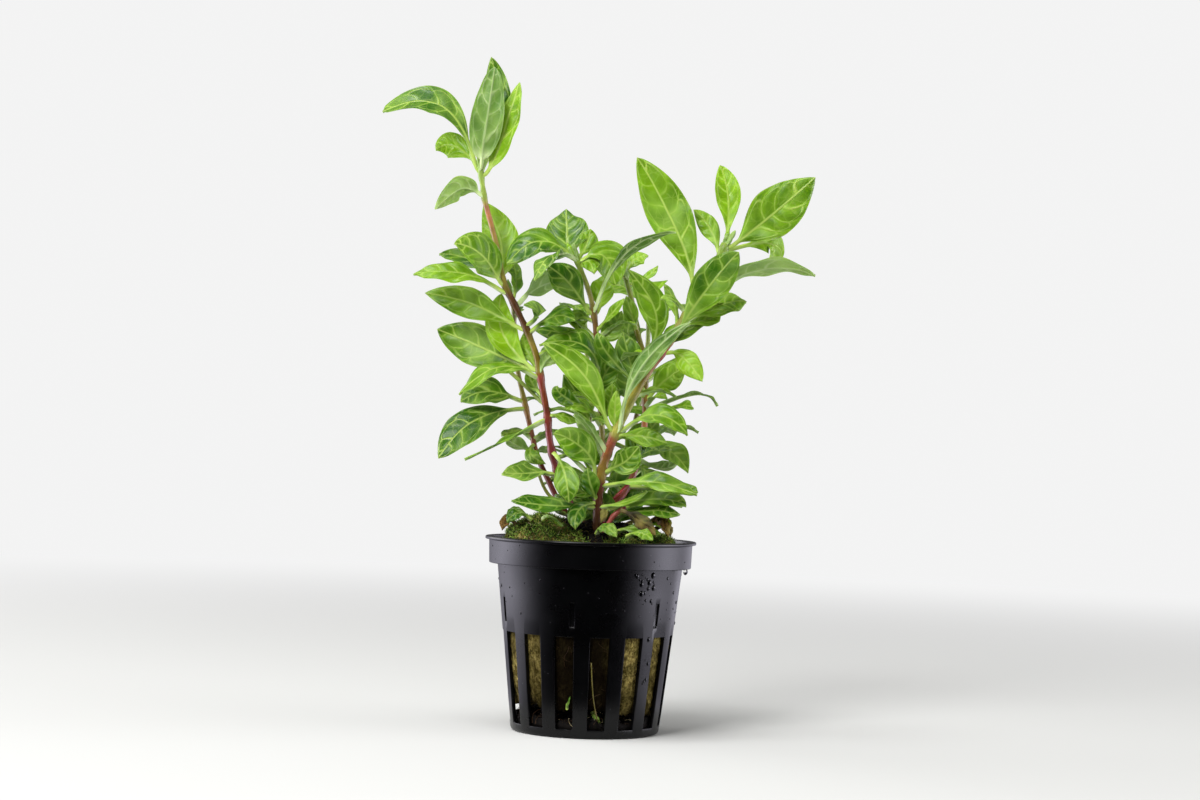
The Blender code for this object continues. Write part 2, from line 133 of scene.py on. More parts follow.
# Scraps on the plug and in the slots: start, middle and tip of each, its width, the way its upper side
# looks, its tone, and how crumpled it is.
DEAD_SCRAPS = (
    ((7.4, -13.5, 58.0), (12.0, -16, 55.8), (16.4, -18, 52.0), 3.9, "front", -0.7, 0.7),
    ((14.6, -10, 54.6), (17.6, -12, 56.0), (19.8, -13, 51.6), 4.2, "up front", 0.8, 1.6),
    ((15.8, -9, 53.0), (19.0, -10.5, 54.2), (20.4, -12, 51.6), 3.0, "up front", 0.2, 1.6),
    ((-19.4, -7, 53.2), (-21.6, -8, 54.6), (-22.9, -8, 51.6), 3.0, "up front", 1.0, 1.2),
    ((1.9, -7.5, 59.8), (3.2, -9, 57.6), (2.4, -9.5, 54.4), 2.2, "front", -0.2, 1.2),
    ((8, 6, 53), (12, 9, 54.5), (16, 12, 51.5), 4.5, "up", 0.2, 1.0),
    ((-4, 11, 52), (-9, 14, 53), (-13, 17, 50.5), 4.0, "up", -0.4, 1.0),
)
GREEN_SCRAPS = (
    ((5.6, -10.5, 52.0), (12, -13, 53.6), (17.8, -14.5, 52.0), 4.2, "up front", -0.8, 0.5),
    ((13.0, -9, 53.0), (17.4, -10.5, 55.2), (20.2, -11, 52.4), 3.4, "up front", -0.3, 0.5),
    ((1.2, -9.5, 51.4), (3.4, -13, 53.6), (6.6, -15.5, 51.0), 4.2, "up front", -1.0, 0.5),
    ((9.0, -15.5, 51.4), (12.6, -18.0, 52.4), (15.6, -19.5, 50.6), 3.4, "up front", -0.5, 0.5),
    ((-15.4, -8, 54.6), (-19.0, -9, 56.2), (-21.6, -9, 53.6), 4.6, "up front", -1.6, 0.5),
    ((-12.5, -10.5, 54.6), (-10.4, -12, 55.4), (-7.4, -13, 53.2), 3.4, "down", 0.6, 0.4),
    ((5, 9, 53), (9, 13, 55.5), (13, 17, 52.5), 4.5, "up", 0.1, 0.3),
    # The last two lie in the slots; their low tones are painted shade, for a slot's inside lies in shade.
    ((-4.6, -17.6, 7.4), (-4.4, -18.3, 9.2), (-4.1, -18.2, 11.4), 2.2, "front left", -2.4, 0.2),
    ((2.0, -15.6, 6.6), (2.6, -16.4, 5.2), (4.0, -16.2, 3.4), 1.8, "front", -0.9, 0.3),
)
# Cut ends and stray stalks, and a stalk in a slot: the points of each, its radius and its colour.
STUBS = (
    ((2.4, -7.2, 52.5), (4.5, -6.4, 59.0), (7.2, -6, 62.4), (9.4, -5, 64.8), 0.45, "#8a1228"),
    ((3.4, -8.4, 52.0), (5.0, -8.4, 55.6), (6.8, -8.8, 57.4), (8.4, -9, 58.8), 0.66, "#a8524e"),
    ((-13.9, -6, 66.0), (-12.8, -5.4, 63.4), (-11.2, -4.6, 61.0), (-8.6, -3.6, 59.2), 0.45, "#8f9a44"),
    ((-23.6, 0, 93.5), (-20.4, 0.8, 90.8), (-16.4, 0, 87.2), (-11.6, -2.4, 82.8), 0.5, "#8fa84c"),
    ((1.2, -20.9, 19.5), (1.6, -20.5, 14.5), (2.2, -19.8, 9.5), (3.2, -18.9, 5.0), 0.17, "#4c4c1c"),
)

# A leaf's mesh: steps along it and across it, for a large leaf, a small one, a young one, a bud's and a
# scrap.
LEAF_STEPS, LEAF_LANES = 36, 14
SMALL_STEPS, SMALL_LANES = 20, 10
YOUNG_STEPS, YOUNG_LANES = 16, 8
BUD_STEPS, BUD_LANES = 10, 6
SCRAP_STEPS, SCRAP_LANES = 18, 12

# A leaf's shape: the stalk's share of its length and its width, the blade's thickness, how steeply its
# halves rise from the midrib, how uneven its margin is, and how deep its dimples and the furrow over its
# midrib are.
PETIOLE_SHARE = 0.08
PETIOLE_WIDTH = 1.1
BLADE_THICKNESS = 0.24
BLADE_FOLD = 0.28
MARGIN_NOISE = 0.03
DIMPLES = 0.25
FURROW = 0.12

# What each point of a leaf knows, for its finish: its place along and across, half the blade's width
# there, the spacing of the side veins, its share of the length, how light the leaf is drawn, which holds
# painted light and shade as well as its own tone, and how strong its veins are.
LEAF_FIELDS = ("along_mm", "across_mm", "half_mm", "vein_step_mm", "share", "tone", "contrast")

# Where along its length a leaf's solid has its rings.
STATIONS = (0.07, 0.17, 0.29, 0.41, 0.53, 0.65, 0.77, 0.89)

# The studio: the world's light, the backdrop's brightness, the floor's fade into it in metres, and the
# softboxes with their place, aim, width, height and power.
WORLD_LIGHT = 0.24
BACKDROP_LIGHT = 0.9
FLOOR_FADE = (0.12, 0.85)
FLOOR_RADIUS = 6.0
BACKDROP_RADIUS = 5.9
SOFTBOXES = (
    ("back_left_softbox", (-0.7, 0.35, 0.3), (0, 0, 0.08), 0.7, 0.5, 3.0),
    ("right_softbox", (0.8, -0.1, 0.3), (0, 0, 0.08), 0.7, 0.5, 3.0),
    ("top_softbox", (-0.2, -0.2, 0.9), (0, 0, 0.1), 0.3, 0.3, 4.8),
    ("front_softbox", (-0.45, -0.75, 0.62), (0, 0, 0.1), 0.36, 0.36, 7.6),
)
# What the pot's sides mirror: pale cards round the plant that only reflections see. Degrees from the
# front, and brightness near the pot and far from it.
CARD_GLOW = (
    (-180, 0.0, 0.0), (-150, 0.3, 0.8), (-130, 0.6, 2.2), (-112, 1.2, 5.5), (-98, 1.7, 7.2), (-84, 1.1, 5.2),
    (-72, 0.4, 2.0), (-60, 0.05, 0.6), (-48, 0.0, 0.0), (38, 0.0, 0.0), (48, 0.1, 0.5), (58, 0.5, 2.0),
    (68, 1.3, 6.0), (80, 2.0, 9.5), (92, 1.6, 8.6), (106, 0.9, 4.6), (122, 0.4, 1.6), (145, 0.6, 1.6),
    (165, 0.2, 0.5), (180, 0.0, 0.0),
)
# The cards' rings: radius and height in metres, and whether they have the near or the far brightness.
CARD_RINGS = (
    (0.034, 0.003, "near"), (0.14, 0.003, "near"), (0.24, 0.003, "far"), (1.3, 0.003, "far"),
    (1.35, 0.26, "far"),
)
CARD_STEP = 6
# A dark card in front, which keeps the pot's middle black: radius, first and last degree, and lowest and
# highest.
DARK_CARD = (1.25, -62, 46, 0.004, 0.9)

# The camera, in metres, with its roll in degrees and its lens in millimetres.
CAMERA_PLACE = Vector((0.00110, -0.621, 0.073))
CAMERA_AIM = Vector((0.00110, 0.0, 0.0862))
CAMERA_ROLL = 2.0
LENS = 71.34
SENSOR = 36.0

SIDES = {
    "front": Vector((0, -1, 0)),
    "back": Vector((0, 1, 0)),
    "left": Vector((-1, 0, 0)),
    "right": Vector((1, 0, 0)),
    "up": Vector((0, 0, 1)),
    "down": Vector((0, 0, -1)),
}

# How light a leaf is drawn, from -1 for a dark one to 1 for a young yellow-green one: partly its own tone and
# partly painted light and shade, set one by one to how light each leaf looks where it lies. The others are
# near 0.
LEAF_TONES_WITH_PAINTED_LIGHT = {
    "tall_top_left": -0.8, "tall_top_right": 0.6, "tall_top_dark": -0.5, "tall_upper_pale": 1.3,
    "tall_upper_back": 0.7, "tall_middle_left": 0.2, "tall_bright": 0.9, "tall_hanging": -0.5,
    "tall_pale_right": 0.6, "left_veined": -0.7, "right_dark": -0.8, "centre_crown": -0.95,
    "centre_top_left": -0.8, "centre_dark_left": -0.8, "centre_dark_arch": -0.7, "centre_drooping": -0.7,
    "centre_bright": 0.9, "front_top_big": -0.1, "front_top_folded": 1.3, "front_top_inner": 0.7,
    "front_upright": 0.25, "front_hanging_right": 0.6, "front_arching_right": 1.0, "front_long_left": -0.1,
}

# The leaves whose veins stand out most, and how strong veins are on them and on the small leaves.
STRONG_VEINS = (
    "tall_top_right", "tall_top_left", "tall_upper_left", "tall_broad_left", "tall_bright", "left_veined",
    "centre_drooping", "front_top_folded", "front_top_big", "front_upright", "front_long_left",
)
STRONG_CONTRAST = 1.1
SMALL_CONTRAST = 0.7
SCRAP_CONTRAST = 0.6
BUD_CONTRAST = 0.5

# How much wider or narrower a finished blade is than its solid.
BLADE_SHARES = {
    "tall_top_left": 1.3, "tall_broad_left": 1.05, "left_pale": 1.35, "left_veined": 1.2,
    "centre_top_right": 1.2, "centre_arching": 0.65, "front_upright": 1.25, "front_silver": 0.72,
    "front_long_left": 0.86, "front_arching_right": 1.15, "front_hanging_right": 0.8,
}

# How slowly a blade widens from its stalk: under 1 for one that sits on the stem, over the usual for one
# with a long stalk.
USUAL_BASE = 1.3
BLADE_BASES = {
    "tall_top_pale": 0.7, "tall_top_dark": 0.8, "tall_top_right": 0.8, "tall_top_left": 1.8,
    "tall_upper_pale": 1.0, "tall_upper_back": 0.9, "tall_upper_left": 0.9, "tall_broad_left": 1.0,
    "tall_bright": 1.0, "tall_narrow": 1.6, "centre_crown": 0.8, "centre_arching": 1.6, "front_silver": 2.2,
    "front_upright": 1.1, "front_arching_right": 1.1,
}

# The blades that end rounder than the others: 1 is a plain point, and less is blunter.
BLADE_TIPS = {"tall_top_left": 0.5, "tall_top_pale": 0.56}

# Each stem's skin from foot to tip: height and colour.
STEM_SKINS = {
    "tall": (
        (44, "#2e080c"), (58, "#560e1c"), (72, "#6a1228"), (80, "#701620"), (84, "#6a2210"),
        (88, "#762a12"), (91, "#84202c"), (92.5, "#78741e"), (96, "#7a6414"), (101, "#807226"),
        (103, "#5e4c14"), (105, "#3c1a08"), (112, "#3e1c08"), (114, "#5c5416"), (117, "#84802a"),
        (127, "#8e7c36"), (131, "#a06c3c"), (135, "#a8664c"), (137.5, "#86a03c"), (146, "#93b852"),
    ),
    "front": (
        (44, "#200a06"), (57, "#34100a"), (62, "#5a1c12"), (64.5, "#6c2c16"), (66, "#7c6c20"),
        (70, "#82621e"), (73, "#844428"), (76.4, "#8a3832"), (78, "#a0a248"), (84, "#8f9634"),
        (91, "#7c7222"), (96, "#7c4420"), (99, "#93302e"), (102, "#8c8c40"), (127, "#7ca03c"),
    ),
    "centre": (
        (44, "#4a2c12"), (58, "#746a30"), (70, "#8c863c"), (98, "#86803a"), (103, "#6a3c1e"),
        (108, "#7a6230"), (123, "#7ca03c"),
    ),
    "right": (
        (44, "#4a1c14"), (56, "#5c3814"), (62, "#703a1e"), (75, "#8c4430"), (80, "#a2643c"),
        (88, "#8a6a34"), (92, "#7c762a"), (109, "#767a1e"), (119, "#82a03c"),
    ),
    "left": (
        (44, "#4a1018"), (58, "#6c1a28"), (66, "#74282c"), (69, "#5c240e"), (78, "#8c4a34"),
        (86, "#7c7026"), (93, "#988e46"), (108, "#8a8450"), (113, "#96a052"),
    ),
    "low": (
        (44, "#3a1010"), (54, "#6c1c22"), (60, "#8a3030"), (68, "#8c4a32"), (71, "#7c7a34"),
        (74, "#86a03c"),
    ),
    "back_right": (
        (44, "#5a221e"), (75, "#7a5c2c"), (115, "#7ca03c"),
    ),
    "back_left": (
        (44, "#5a221e"), (72, "#7a5c2c"), (108, "#7ca03c"),
    ),
}

# Pairs of younger leaves, each a quarter turn on from the last: stem, first height, spacing, pairs,
# length, and the first pair's turn in degrees.
YOUNG_PAIRS = (
    ("tall", 70, 13, 4, 10, 20),
    ("centre", 57, 9, 6, 14, 75),
    ("right", 59, 8.5, 6, 14, 15),
    ("left", 64, 10.5, 5, 9, 70),
    ("front", 68, 10, 5, 11, 30),
    ("low", 56, 6, 3, 9, 60),
    ("back_right", 57, 8.5, 7, 17, 20),
    ("back_left", 57, 8.5, 6, 17, 60),
)

# Folded leaves at the tip of a shoot: length, and how far each leans out.
BUD_LEAVES = ((4.6, 0.5), (3.2, 0.22), (4.2, 0.5), (2.8, 0.22))

# The small leaves: stem, height on it, middle and tip of the midrib, width, the way the upper side looks,
# tone.
SMALL_LEAVES = (
    ("tall", 145.5, (-39, -1.5, 151), (-44, -1.5, 149.8), 7, "front", 0.5),
    ("tall", 115, (-33.5, 1, 121.5), (-42.5, 3, 123), 6.5, "up front", -0.6),
    ("tall", 111, (-22, 1, 117), (-23.5, 2, 122.5), 5.5, "front right", 0.1),
    ("tall", 104.5, (-15.8, -9, 107.8), (-19.3, -11, 109.8), 5, "front up", -0.8),
    ("tall", 102.5, (-11.5, -9, 107), (-6, -11, 106), 8, "front up", -0.8),
    ("tall", 92.5, (-18.2, -2, 98.1), (-19.4, -3, 102.7), 3.4, "front", 0.3),
    ("tall", 93, (-12.7, -3, 96.7), (-9.7, -1, 101.3), 5.5, "back", 0.5),
    ("tall", 86.5, (-16.6, -2, 89.8), (-17.7, -3, 93.4), 3.2, "front", -0.2),
    ("tall", 92.5, (-13, -8, 96), (-9.5, -9, 99), 4, "back up", 0.4),
    ("tall", 81.5, (-8, -6, 81.5), (-4.5, -5, 80), 4, "up front", -0.2),
    ("left", 77.5, (-22, 7, 77), (-24.5, 5, 76), 3, "front up", 0.1),
    ("left", 72.5, (-20, 7, 73.5), (-23, 5, 75.5), 5, "back up", 0.4),
    ("left", 105.5, (-24.5, 10, 107.5), (-26.5, 12, 105.5), 5, "front", 0.2),
    ("front", 58.5, (-11.5, -15, 58.5), (-20.5, -17, 59.5), 6, "front up", -0.8),
    ("front", 59.5, (-3.2, -13, 57.8), (-4, -15, 52.7), 5, "front", -0.7),
    ("front", 72.5, (-1.7, -15, 79.8), (-6.3, -17, 83.4), 4.6, "up", 0.5),
    ("centre", 79.5, (-3, -5, 84), (-8, -7, 83.5), 6, "front up", 0.1),
    ("centre", 71, (-1.5, -8, 77.5), (-5.5, -9, 82), 3.5, "back up", 0.5),
    ("centre", 85, (-8, -3, 86.5), (-10, -4, 89), 3.5, "front", 0.2),
    ("centre", 82, (-7.8, -8, 86.3), (-10, -9, 89.1), 4.5, "front", -0.5),
    ("centre", 79.5, (3.6, -3, 85.3), (4.2, -4, 90.5), 5, "front", 0.1),
    ("centre", 122, (-3.8, -4, 126.5), (-2.9, -3, 130.5), 5.5, "front", -0.2),
    ("centre", 120.5, (-3.1, -6, 121.7), (-1.5, -8, 118.5), 6, "front up", 0.1),
    ("centre", 101.5, (3, -2, 104), (6, -3, 109.5), 6, "front", 0.0),
    ("centre", 104, (3.5, -5, 108.5), (6.5, -6, 112.5), 3, "front left", 0.3),
    ("centre", 106.5, (-5, 2, 107.5), (-5, 0, 104), 6, "front up", -0.4),
    ("right", 119, (9, 3, 123.5), (12.5, 4, 124.5), 5.5, "front up", 0.5),
    ("right", 116.5, (12.5, 2, 119), (15, 2, 122), 2.5, "front up", 0.6),
    ("right", 104, (8.5, 0, 109), (7, -2, 113.5), 4, "front", 0.0),
    ("right", 89, (3.5, -6, 97), (0, -7, 103.5), 4.5, "front", -0.7),
    ("right", 84, (25.5, -4, 88.5), (31.5, -6, 85.5), 4.5, "up", -0.1),
    ("right", 82.5, (21.5, -8, 85), (25, -9, 84.5), 3.5, "up front", 0.2),
    ("right", 85, (15.5, -3, 87.5), (18.5, -5, 87), 4, "front up", 0.3),
    ("front", 123.5, (28, -9, 131), (23.5, -8, 136), 5, "front", 0.3),
    ("front", 106, (31, -9, 111.5), (38, -8, 112.5), 8, "up front", -0.1),
    ("front", 105.5, (27.5, -9, 107.5), (31.5, -8, 109), 5.5, "up front", 0.0),
    ("front", 104.5, (19.5, -9, 111.5), (16.5, -8, 116.5), 3.5, "front left", 0.2),
    ("front", 77, (12, -14, 77), (18.5, -16, 75.5), 5, "front", 0.2),
    ("front", 58.5, (8.5, -12, 60), (14, -13, 63), 2.5, "up front", 0.4),
    ("front", 57, (15.5, -12, 61), (24, -15, 59.5), 6, "up front", 0.1),
    ("front", 60, (-0.5, -12, 64), (-1.5, -12, 68.5), 5, "front", -0.4),
    ("centre", 86, (1.5, -1, 91.5), (5.5, 0, 98), 7, "front", -0.5),
    ("centre", 99, (-8, -1, 102.8), (-17, 0, 104), 6.5, "front up", -0.7),
    ("right", 98, (8, 4, 103.5), (9.5, 5, 110.5), 6.5, "front", -0.4),
    ("front", 78, (5.0, -12, 82.5), (5.2, -13, 88.5), 3.6, "front", 0.3),
    ("right", 68, (13, -4, 72.5), (20, -6, 74), 5.5, "up front", -0.4),
    ("low", 55.5, (14.5, -12, 58.0), (22.5, -13, 57.2), 5, "up front", -0.2),
    ("front", 99, (20, -10, 103), (29, -9, 107.5), 6.5, "up front", -0.2),
    ("left", 74, (-16.5, 2, 71.5), (-12.5, 1, 69), 4, "front", -0.2),
    ("centre", 52, (0, 0, 56), (-5, -2, 60), 7, "front", -1.0),
    ("front", 53, (3.5, -6, 57.5), (1, -8, 63), 6, "front", -1.0),
    ("low", 52, (6, 0, 57), (4, 0, 63), 6, "front", -1.0),
    ("right", 53, (9, 0, 58), (13, -1, 63), 7, "front", -0.8),
    ("centre", 58, (-4, 2, 63), (-9, 2, 67), 7, "front", -0.6),
    ("left", 56, (-10, 2, 58), (-6, 0, 60.5), 6, "front up", -0.8),
    ("back_left", 56, (-4, 14, 62), (-10, 12, 69), 9, "front", -0.6),
    ("back_right", 57, (8, 12, 64), (13, 10, 71), 9, "front", -0.6),
    ("back_left", 66, (0, 16, 72), (5, 14, 79), 9, "front", -0.4),
    ("back_right", 68, (12, 16, 75), (17, 14, 82), 9, "front", -0.3),
    ("back_left", 80, (-4, 18, 86), (-9, 16, 93), 9, "front", -0.4),
    ("back_right", 84, (10, 18, 90), (4, 15, 97), 9, "front", -0.4),
    ("low", 71, (14.1, -4, 74.2), (16.9, -6, 73.3), 4.5, "front", -0.7),
    ("low", 55.5, (14.4, -10, 60.6), (23.1, -12, 59.2), 5.5, "up front", 0.2),
    ("low", 71.5, (17.5, -1, 69), (22, -2, 71), 4, "back up", 0.5),
    ("low", 69.5, (14.5, -4, 67.5), (17, -6, 65.5), 5, "up front", -0.6),
    ("low", 64, (22, -8, 63.5), (27, -10, 63), 5, "up front", 0.1),
)

MATH = "ShaderNodeMath"
MIX = "ShaderNodeMix"
RANGE = "ShaderNodeMapRange"
NOISE = "ShaderNodeTexNoise"
CELLS = "ShaderNodeTexVoronoi"
BUMP = "ShaderNodeBump"
PLACE = "ShaderNodeTexCoord"
FIELD = "ShaderNodeAttribute"
VECTOR = "ShaderNodeVectorMath"
JOIN = "ShaderNodeCombineXYZ"


def linear(hex_colour):
    """An sRGB hex colour as the linear values that a shader takes."""
    channels = [int(hex_colour[i : i + 2], 16) / 255 for i in (1, 3, 5)]
    return tuple(c / 12.92 if c <= 0.04045 else ((c + 0.055) / 1.055) ** 2.4 for c in channels) + (1.0,)


def put(tree, kind, values=(), **settings):
    """Adds a node. A value is a number, a colour, a socket, or a node whose first output is meant."""
    made = tree.nodes.new(kind)
    for name, setting in settings.items():
        setattr(made, name, setting)
    pairs = values.items() if isinstance(values, dict) else enumerate(values)
    for place, value in pairs:
        if isinstance(value, bpy.types.Node):
            value = value.outputs[0]
        if isinstance(value, bpy.types.NodeSocket):
            tree.links.new(value, made.inputs[place])
        else:
            made.inputs[place].default_value = value
    return made


def new_material(name):
    """An empty material, and its tree."""
    made = bpy.data.materials.new(name)
    made.use_nodes = True
    made.node_tree.nodes.clear()
    return made, made.node_tree


def close_material(tree, values):
    """Ends a material's tree in its shader."""
    shader = put(tree, "ShaderNodeBsdfPrincipled", values)
    put(tree, "ShaderNodeOutputMaterial", {"Surface": shader})


def leaf_finish(name, dark, light, vein, vein_strength, quilt, gloss, mottling):
    """Leaf skin, grown: waxy above and matt below, thin enough to glow a little, with a pale net of veins.

    A midrib, four to six pairs of side veins that arch towards the tip and join in loops short of the margin,
    and a net between them. The midrib is 0.3 to 0.6 mm wide and the side veins 0.4 to 0.7 mm, as real ones
    are. The net's cells are 3 mm and 1.3 mm wide; the finest real ones are too fine to show and are drawn
    that coarse. A dead leaf keeps its net, and is rough and brown.
    """
    made, tree = new_material(name)
    along, across, half, step, share, tone, contrast = (
        put(tree, FIELD, attribute_name=field).outputs["Fac"] for field in LEAF_FIELDS
    )
    place = put(tree, PLACE).outputs["Object"]

    # How far along the midrib the side vein that reaches this point leaves it, made to wander over 8 mm.
    wander = put(tree, NOISE, {"Vector": place, "Scale": 130.0, "Detail": 1.0, "Roughness": 0.4})
    wander = put(tree, RANGE, {0: wander, 1: 0.3, 2: 0.7, 3: -1.7, 4: 1.7})
    away = put(tree, MATH, (across,), operation="ABSOLUTE")
    reach = put(tree, MATH, (away, half), operation="DIVIDE")
    reach_cubed = put(tree, MATH, (reach, 3.0), operation="POWER")
    outward = put(tree, MATH, (reach, 0.55), operation="MULTIPLY")
    sweep = put(tree, MATH, (reach_cubed, 0.85, outward), operation="MULTIPLY_ADD")
    sweep = put(tree, MATH, (sweep, half), operation="MULTIPLY")
    start = put(tree, MATH, (along, sweep), operation="SUBTRACT")
    start = put(tree, MATH, (start, wander), operation="ADD")

    # The side veins, which leave the two sides of the midrib out of step.
    other_side = put(tree, MATH, (across, 0.0), operation="GREATER_THAN")
    shift = put(tree, MATH, (other_side, 0.42, 0.2), operation="MULTIPLY_ADD")
    phase = put(tree, MATH, (start, step), operation="DIVIDE")
    phase = put(tree, MATH, (phase, shift), operation="ADD")
    nearest = put(tree, MATH, (phase, 1.0, 0.0), operation="WRAP")
    nearest = put(tree, MATH, (nearest, 0.5), operation="SUBTRACT")
    nearest = put(tree, MATH, (nearest,), operation="ABSOLUTE")
    off_vein = put(tree, MATH, (nearest, step), operation="MULTIPLY")
    side_width = put(tree, RANGE, {0: reach, 1: 0.0, 2: 1.0, 3: 0.66, 4: 0.4})
    side_vein = put(tree, RANGE, {0: off_vein, 1: 0.02, 2: side_width, 3: 1.0, 4: 0.0},
                    interpolation_type="SMOOTHSTEP")
    short_of_margin = put(tree, RANGE, {0: reach, 1: 0.7, 2: 0.9, 3: 1.0, 4: 0.25})
    side_vein = put(tree, MATH, (side_vein, short_of_margin), operation="MULTIPLY")

    # The loops that join them, and the midrib.
    half_turn = put(tree, MATH, (phase, math.pi), operation="MULTIPLY")
    scallop = put(tree, MATH, (half_turn,), operation="COSINE")
    scallop = put(tree, MATH, (scallop,), operation="ABSOLUTE")
    loop_at = put(tree, MATH, (scallop, 0.16, 0.66), operation="MULTIPLY_ADD")
    loop_off = put(tree, MATH, (reach, loop_at), operation="SUBTRACT")
    loop_off = put(tree, MATH, (loop_off,), operation="ABSOLUTE")
    loop_off = put(tree, MATH, (loop_off, half), operation="MULTIPLY")
    loop = put(tree, RANGE, {0: loop_off, 1: 0.02, 2: 0.3, 3: 0.85, 4: 0.0}, interpolation_type="SMOOTHSTEP")
    rib_width = put(tree, RANGE, {0: share, 1: 0.1, 2: 1.0, 3: 0.6, 4: 0.3})
    rib = put(tree, RANGE, {0: away, 1: 0.02, 2: rib_width, 3: 1.0, 4: 0.0}, interpolation_type="SMOOTHSTEP")

    # Veins fade in and out over 5 mm, and the net's lines bend over 2 mm.
    patchy = put(tree, NOISE, {"Vector": place, "Scale": 210.0, "Detail": 3.0, "Roughness": 0.6})
    strength = put(tree, RANGE, {0: patchy, 1: 0.36, 2: 0.64, 3: 0.2, 4: 1.0})
    veins = put(tree, MATH, (side_vein, loop), operation="MAXIMUM")
    veins = put(tree, MATH, (veins, strength), operation="MULTIPLY")
    ridges = put(tree, MATH, (veins, rib), operation="MAXIMUM")
    bent = put(tree, NOISE, {"Vector": place, "Scale": 500.0, "Detail": 1.0}).outputs["Color"]
    bent = put(tree, VECTOR, {0: bent, "Scale": 0.0012}, operation="SCALE")
    bent = put(tree, VECTOR, (place, bent), operation="ADD")
    for cells, line_width, depth in ((330.0, 0.07, 0.26), (760.0, 0.09, 0.07)):
        net = put(tree, CELLS, {"Vector": bent, "Scale": cells}, feature="DISTANCE_TO_EDGE")
        net = put(tree, RANGE, {0: net, 1: 0.01, 2: line_width, 3: depth, 4: 0.0},
                  interpolation_type="SMOOTHSTEP")
        net = put(tree, MATH, (net, strength), operation="MULTIPLY")
        veins = put(tree, MATH, (veins, net), operation="MAXIMUM")
    veins = put(tree, MATH, (veins, rib), operation="MAXIMUM")
    shown = put(tree, MATH, (veins, vein_strength), operation="MULTIPLY")
    shown = put(tree, MATH, (shown, contrast), operation="MULTIPLY")

    # The ground colour: mottled over 6 mm and 17 mm, paler beside a vein, with a painted sheen of pale 12 mm
    # patches standing for the leaves' satin highlights.
    mottle = put(tree, NOISE, {"Vector": place, "Scale": 170.0, "Detail": 3.0, "Roughness": 0.5})
    mottle = put(tree, RANGE, {0: mottle, 1: 0.3, 2: 0.7, 3: -mottling, 4: mottling})
    broad = put(tree, NOISE, {"Vector": place, "Scale": 60.0, "Detail": 1.0})
    broad = put(tree, RANGE, {0: broad, 1: 0.3, 2: 0.7, 3: -0.14, 4: 0.14})
    near_vein = put(tree, RANGE, {0: off_vein, 1: 0.2, 2: 1.9, 3: 0.1, 4: -0.08})
    level = put(tree, MATH, (mottle, near_vein), operation="ADD")
    level = put(tree, MATH, (level, broad), operation="ADD")
    # The tone carries painted light and shade as well: low leaves darkened as shade, and listed leaves made
    # lighter or darker.
    level = put(tree, MATH, (tone, 0.42, level), operation="MULTIPLY_ADD")
    level = put(tree, MATH, (level, 0.45), operation="ADD", use_clamp=True)
    ground = put(tree, MIX, {0: level, 6: linear(dark), 7: linear(light)}, data_type="RGBA").outputs[2]
    painted_sheen = put(tree, NOISE, {"Vector": place, "Scale": 85.0, "Detail": 2.0, "Roughness": 0.55})
    painted_sheen = put(tree, RANGE, {0: painted_sheen, 1: 0.48, 2: 0.7, 3: 0.0, 4: 0.28})
    ground = put(tree, MIX, {0: painted_sheen, 6: ground, 7: linear("#a8c66c")}, data_type="RGBA").outputs[2]

    # Over it the veins, a fine pale margin, which is a painted highlight where the edge catches the light,
    # and the pale stalk.
    painted_edge_light = put(tree, RANGE, {0: reach, 1: 0.93, 2: 1.0, 3: 0.0, 4: 0.2}, interpolation_type="SMOOTHSTEP")
    shown = put(tree, MATH, (shown, painted_edge_light), operation="MAXIMUM")
    stalk = put(tree, RANGE, {0: share, 1: 0.08, 2: 0.24, 3: 0.85, 4: 0.0}, interpolation_type="SMOOTHSTEP")
    shown = put(tree, MATH, (shown, stalk), operation="MAXIMUM")
    skin = put(tree, MIX, {0: shown, 6: ground, 7: linear(vein)}, data_type="RGBA").outputs[2]
    wax = put(tree, RANGE, {0: mottle, 1: -mottling, 2: mottling, 3: gloss - 0.06, 4: gloss + 0.1})

    # The skin swells between the side veins and dips at each vein.
    turn = put(tree, MATH, (phase, math.tau), operation="MULTIPLY")
    turn = put(tree, MATH, (turn,), operation="COSINE")
    pillow = put(tree, MATH, (turn, -0.5, 0.5), operation="MULTIPLY_ADD")
    relief = put(tree, MATH, (pillow, quilt), operation="MULTIPLY")
    groove = put(tree, MATH, (ridges, -0.5, relief), operation="MULTIPLY_ADD")
    height = put(tree, MATH, (mottle, 0.4, groove), operation="MULTIPLY_ADD")
    close_material(tree, {
        "Base Color": skin,
        "Roughness": wax,
        "Normal": put(tree, BUMP, {"Strength": 0.6, "Distance": 0.34 * MM, "Height": height}),
        "IOR": 1.45,
        "Specular IOR Level": 0.3,
        "Subsurface Weight": 0.2,
        "Subsurface Radius": (0.6, 1.0, 0.15),
        "Subsurface Scale": 0.35 * MM,
    })
    return made


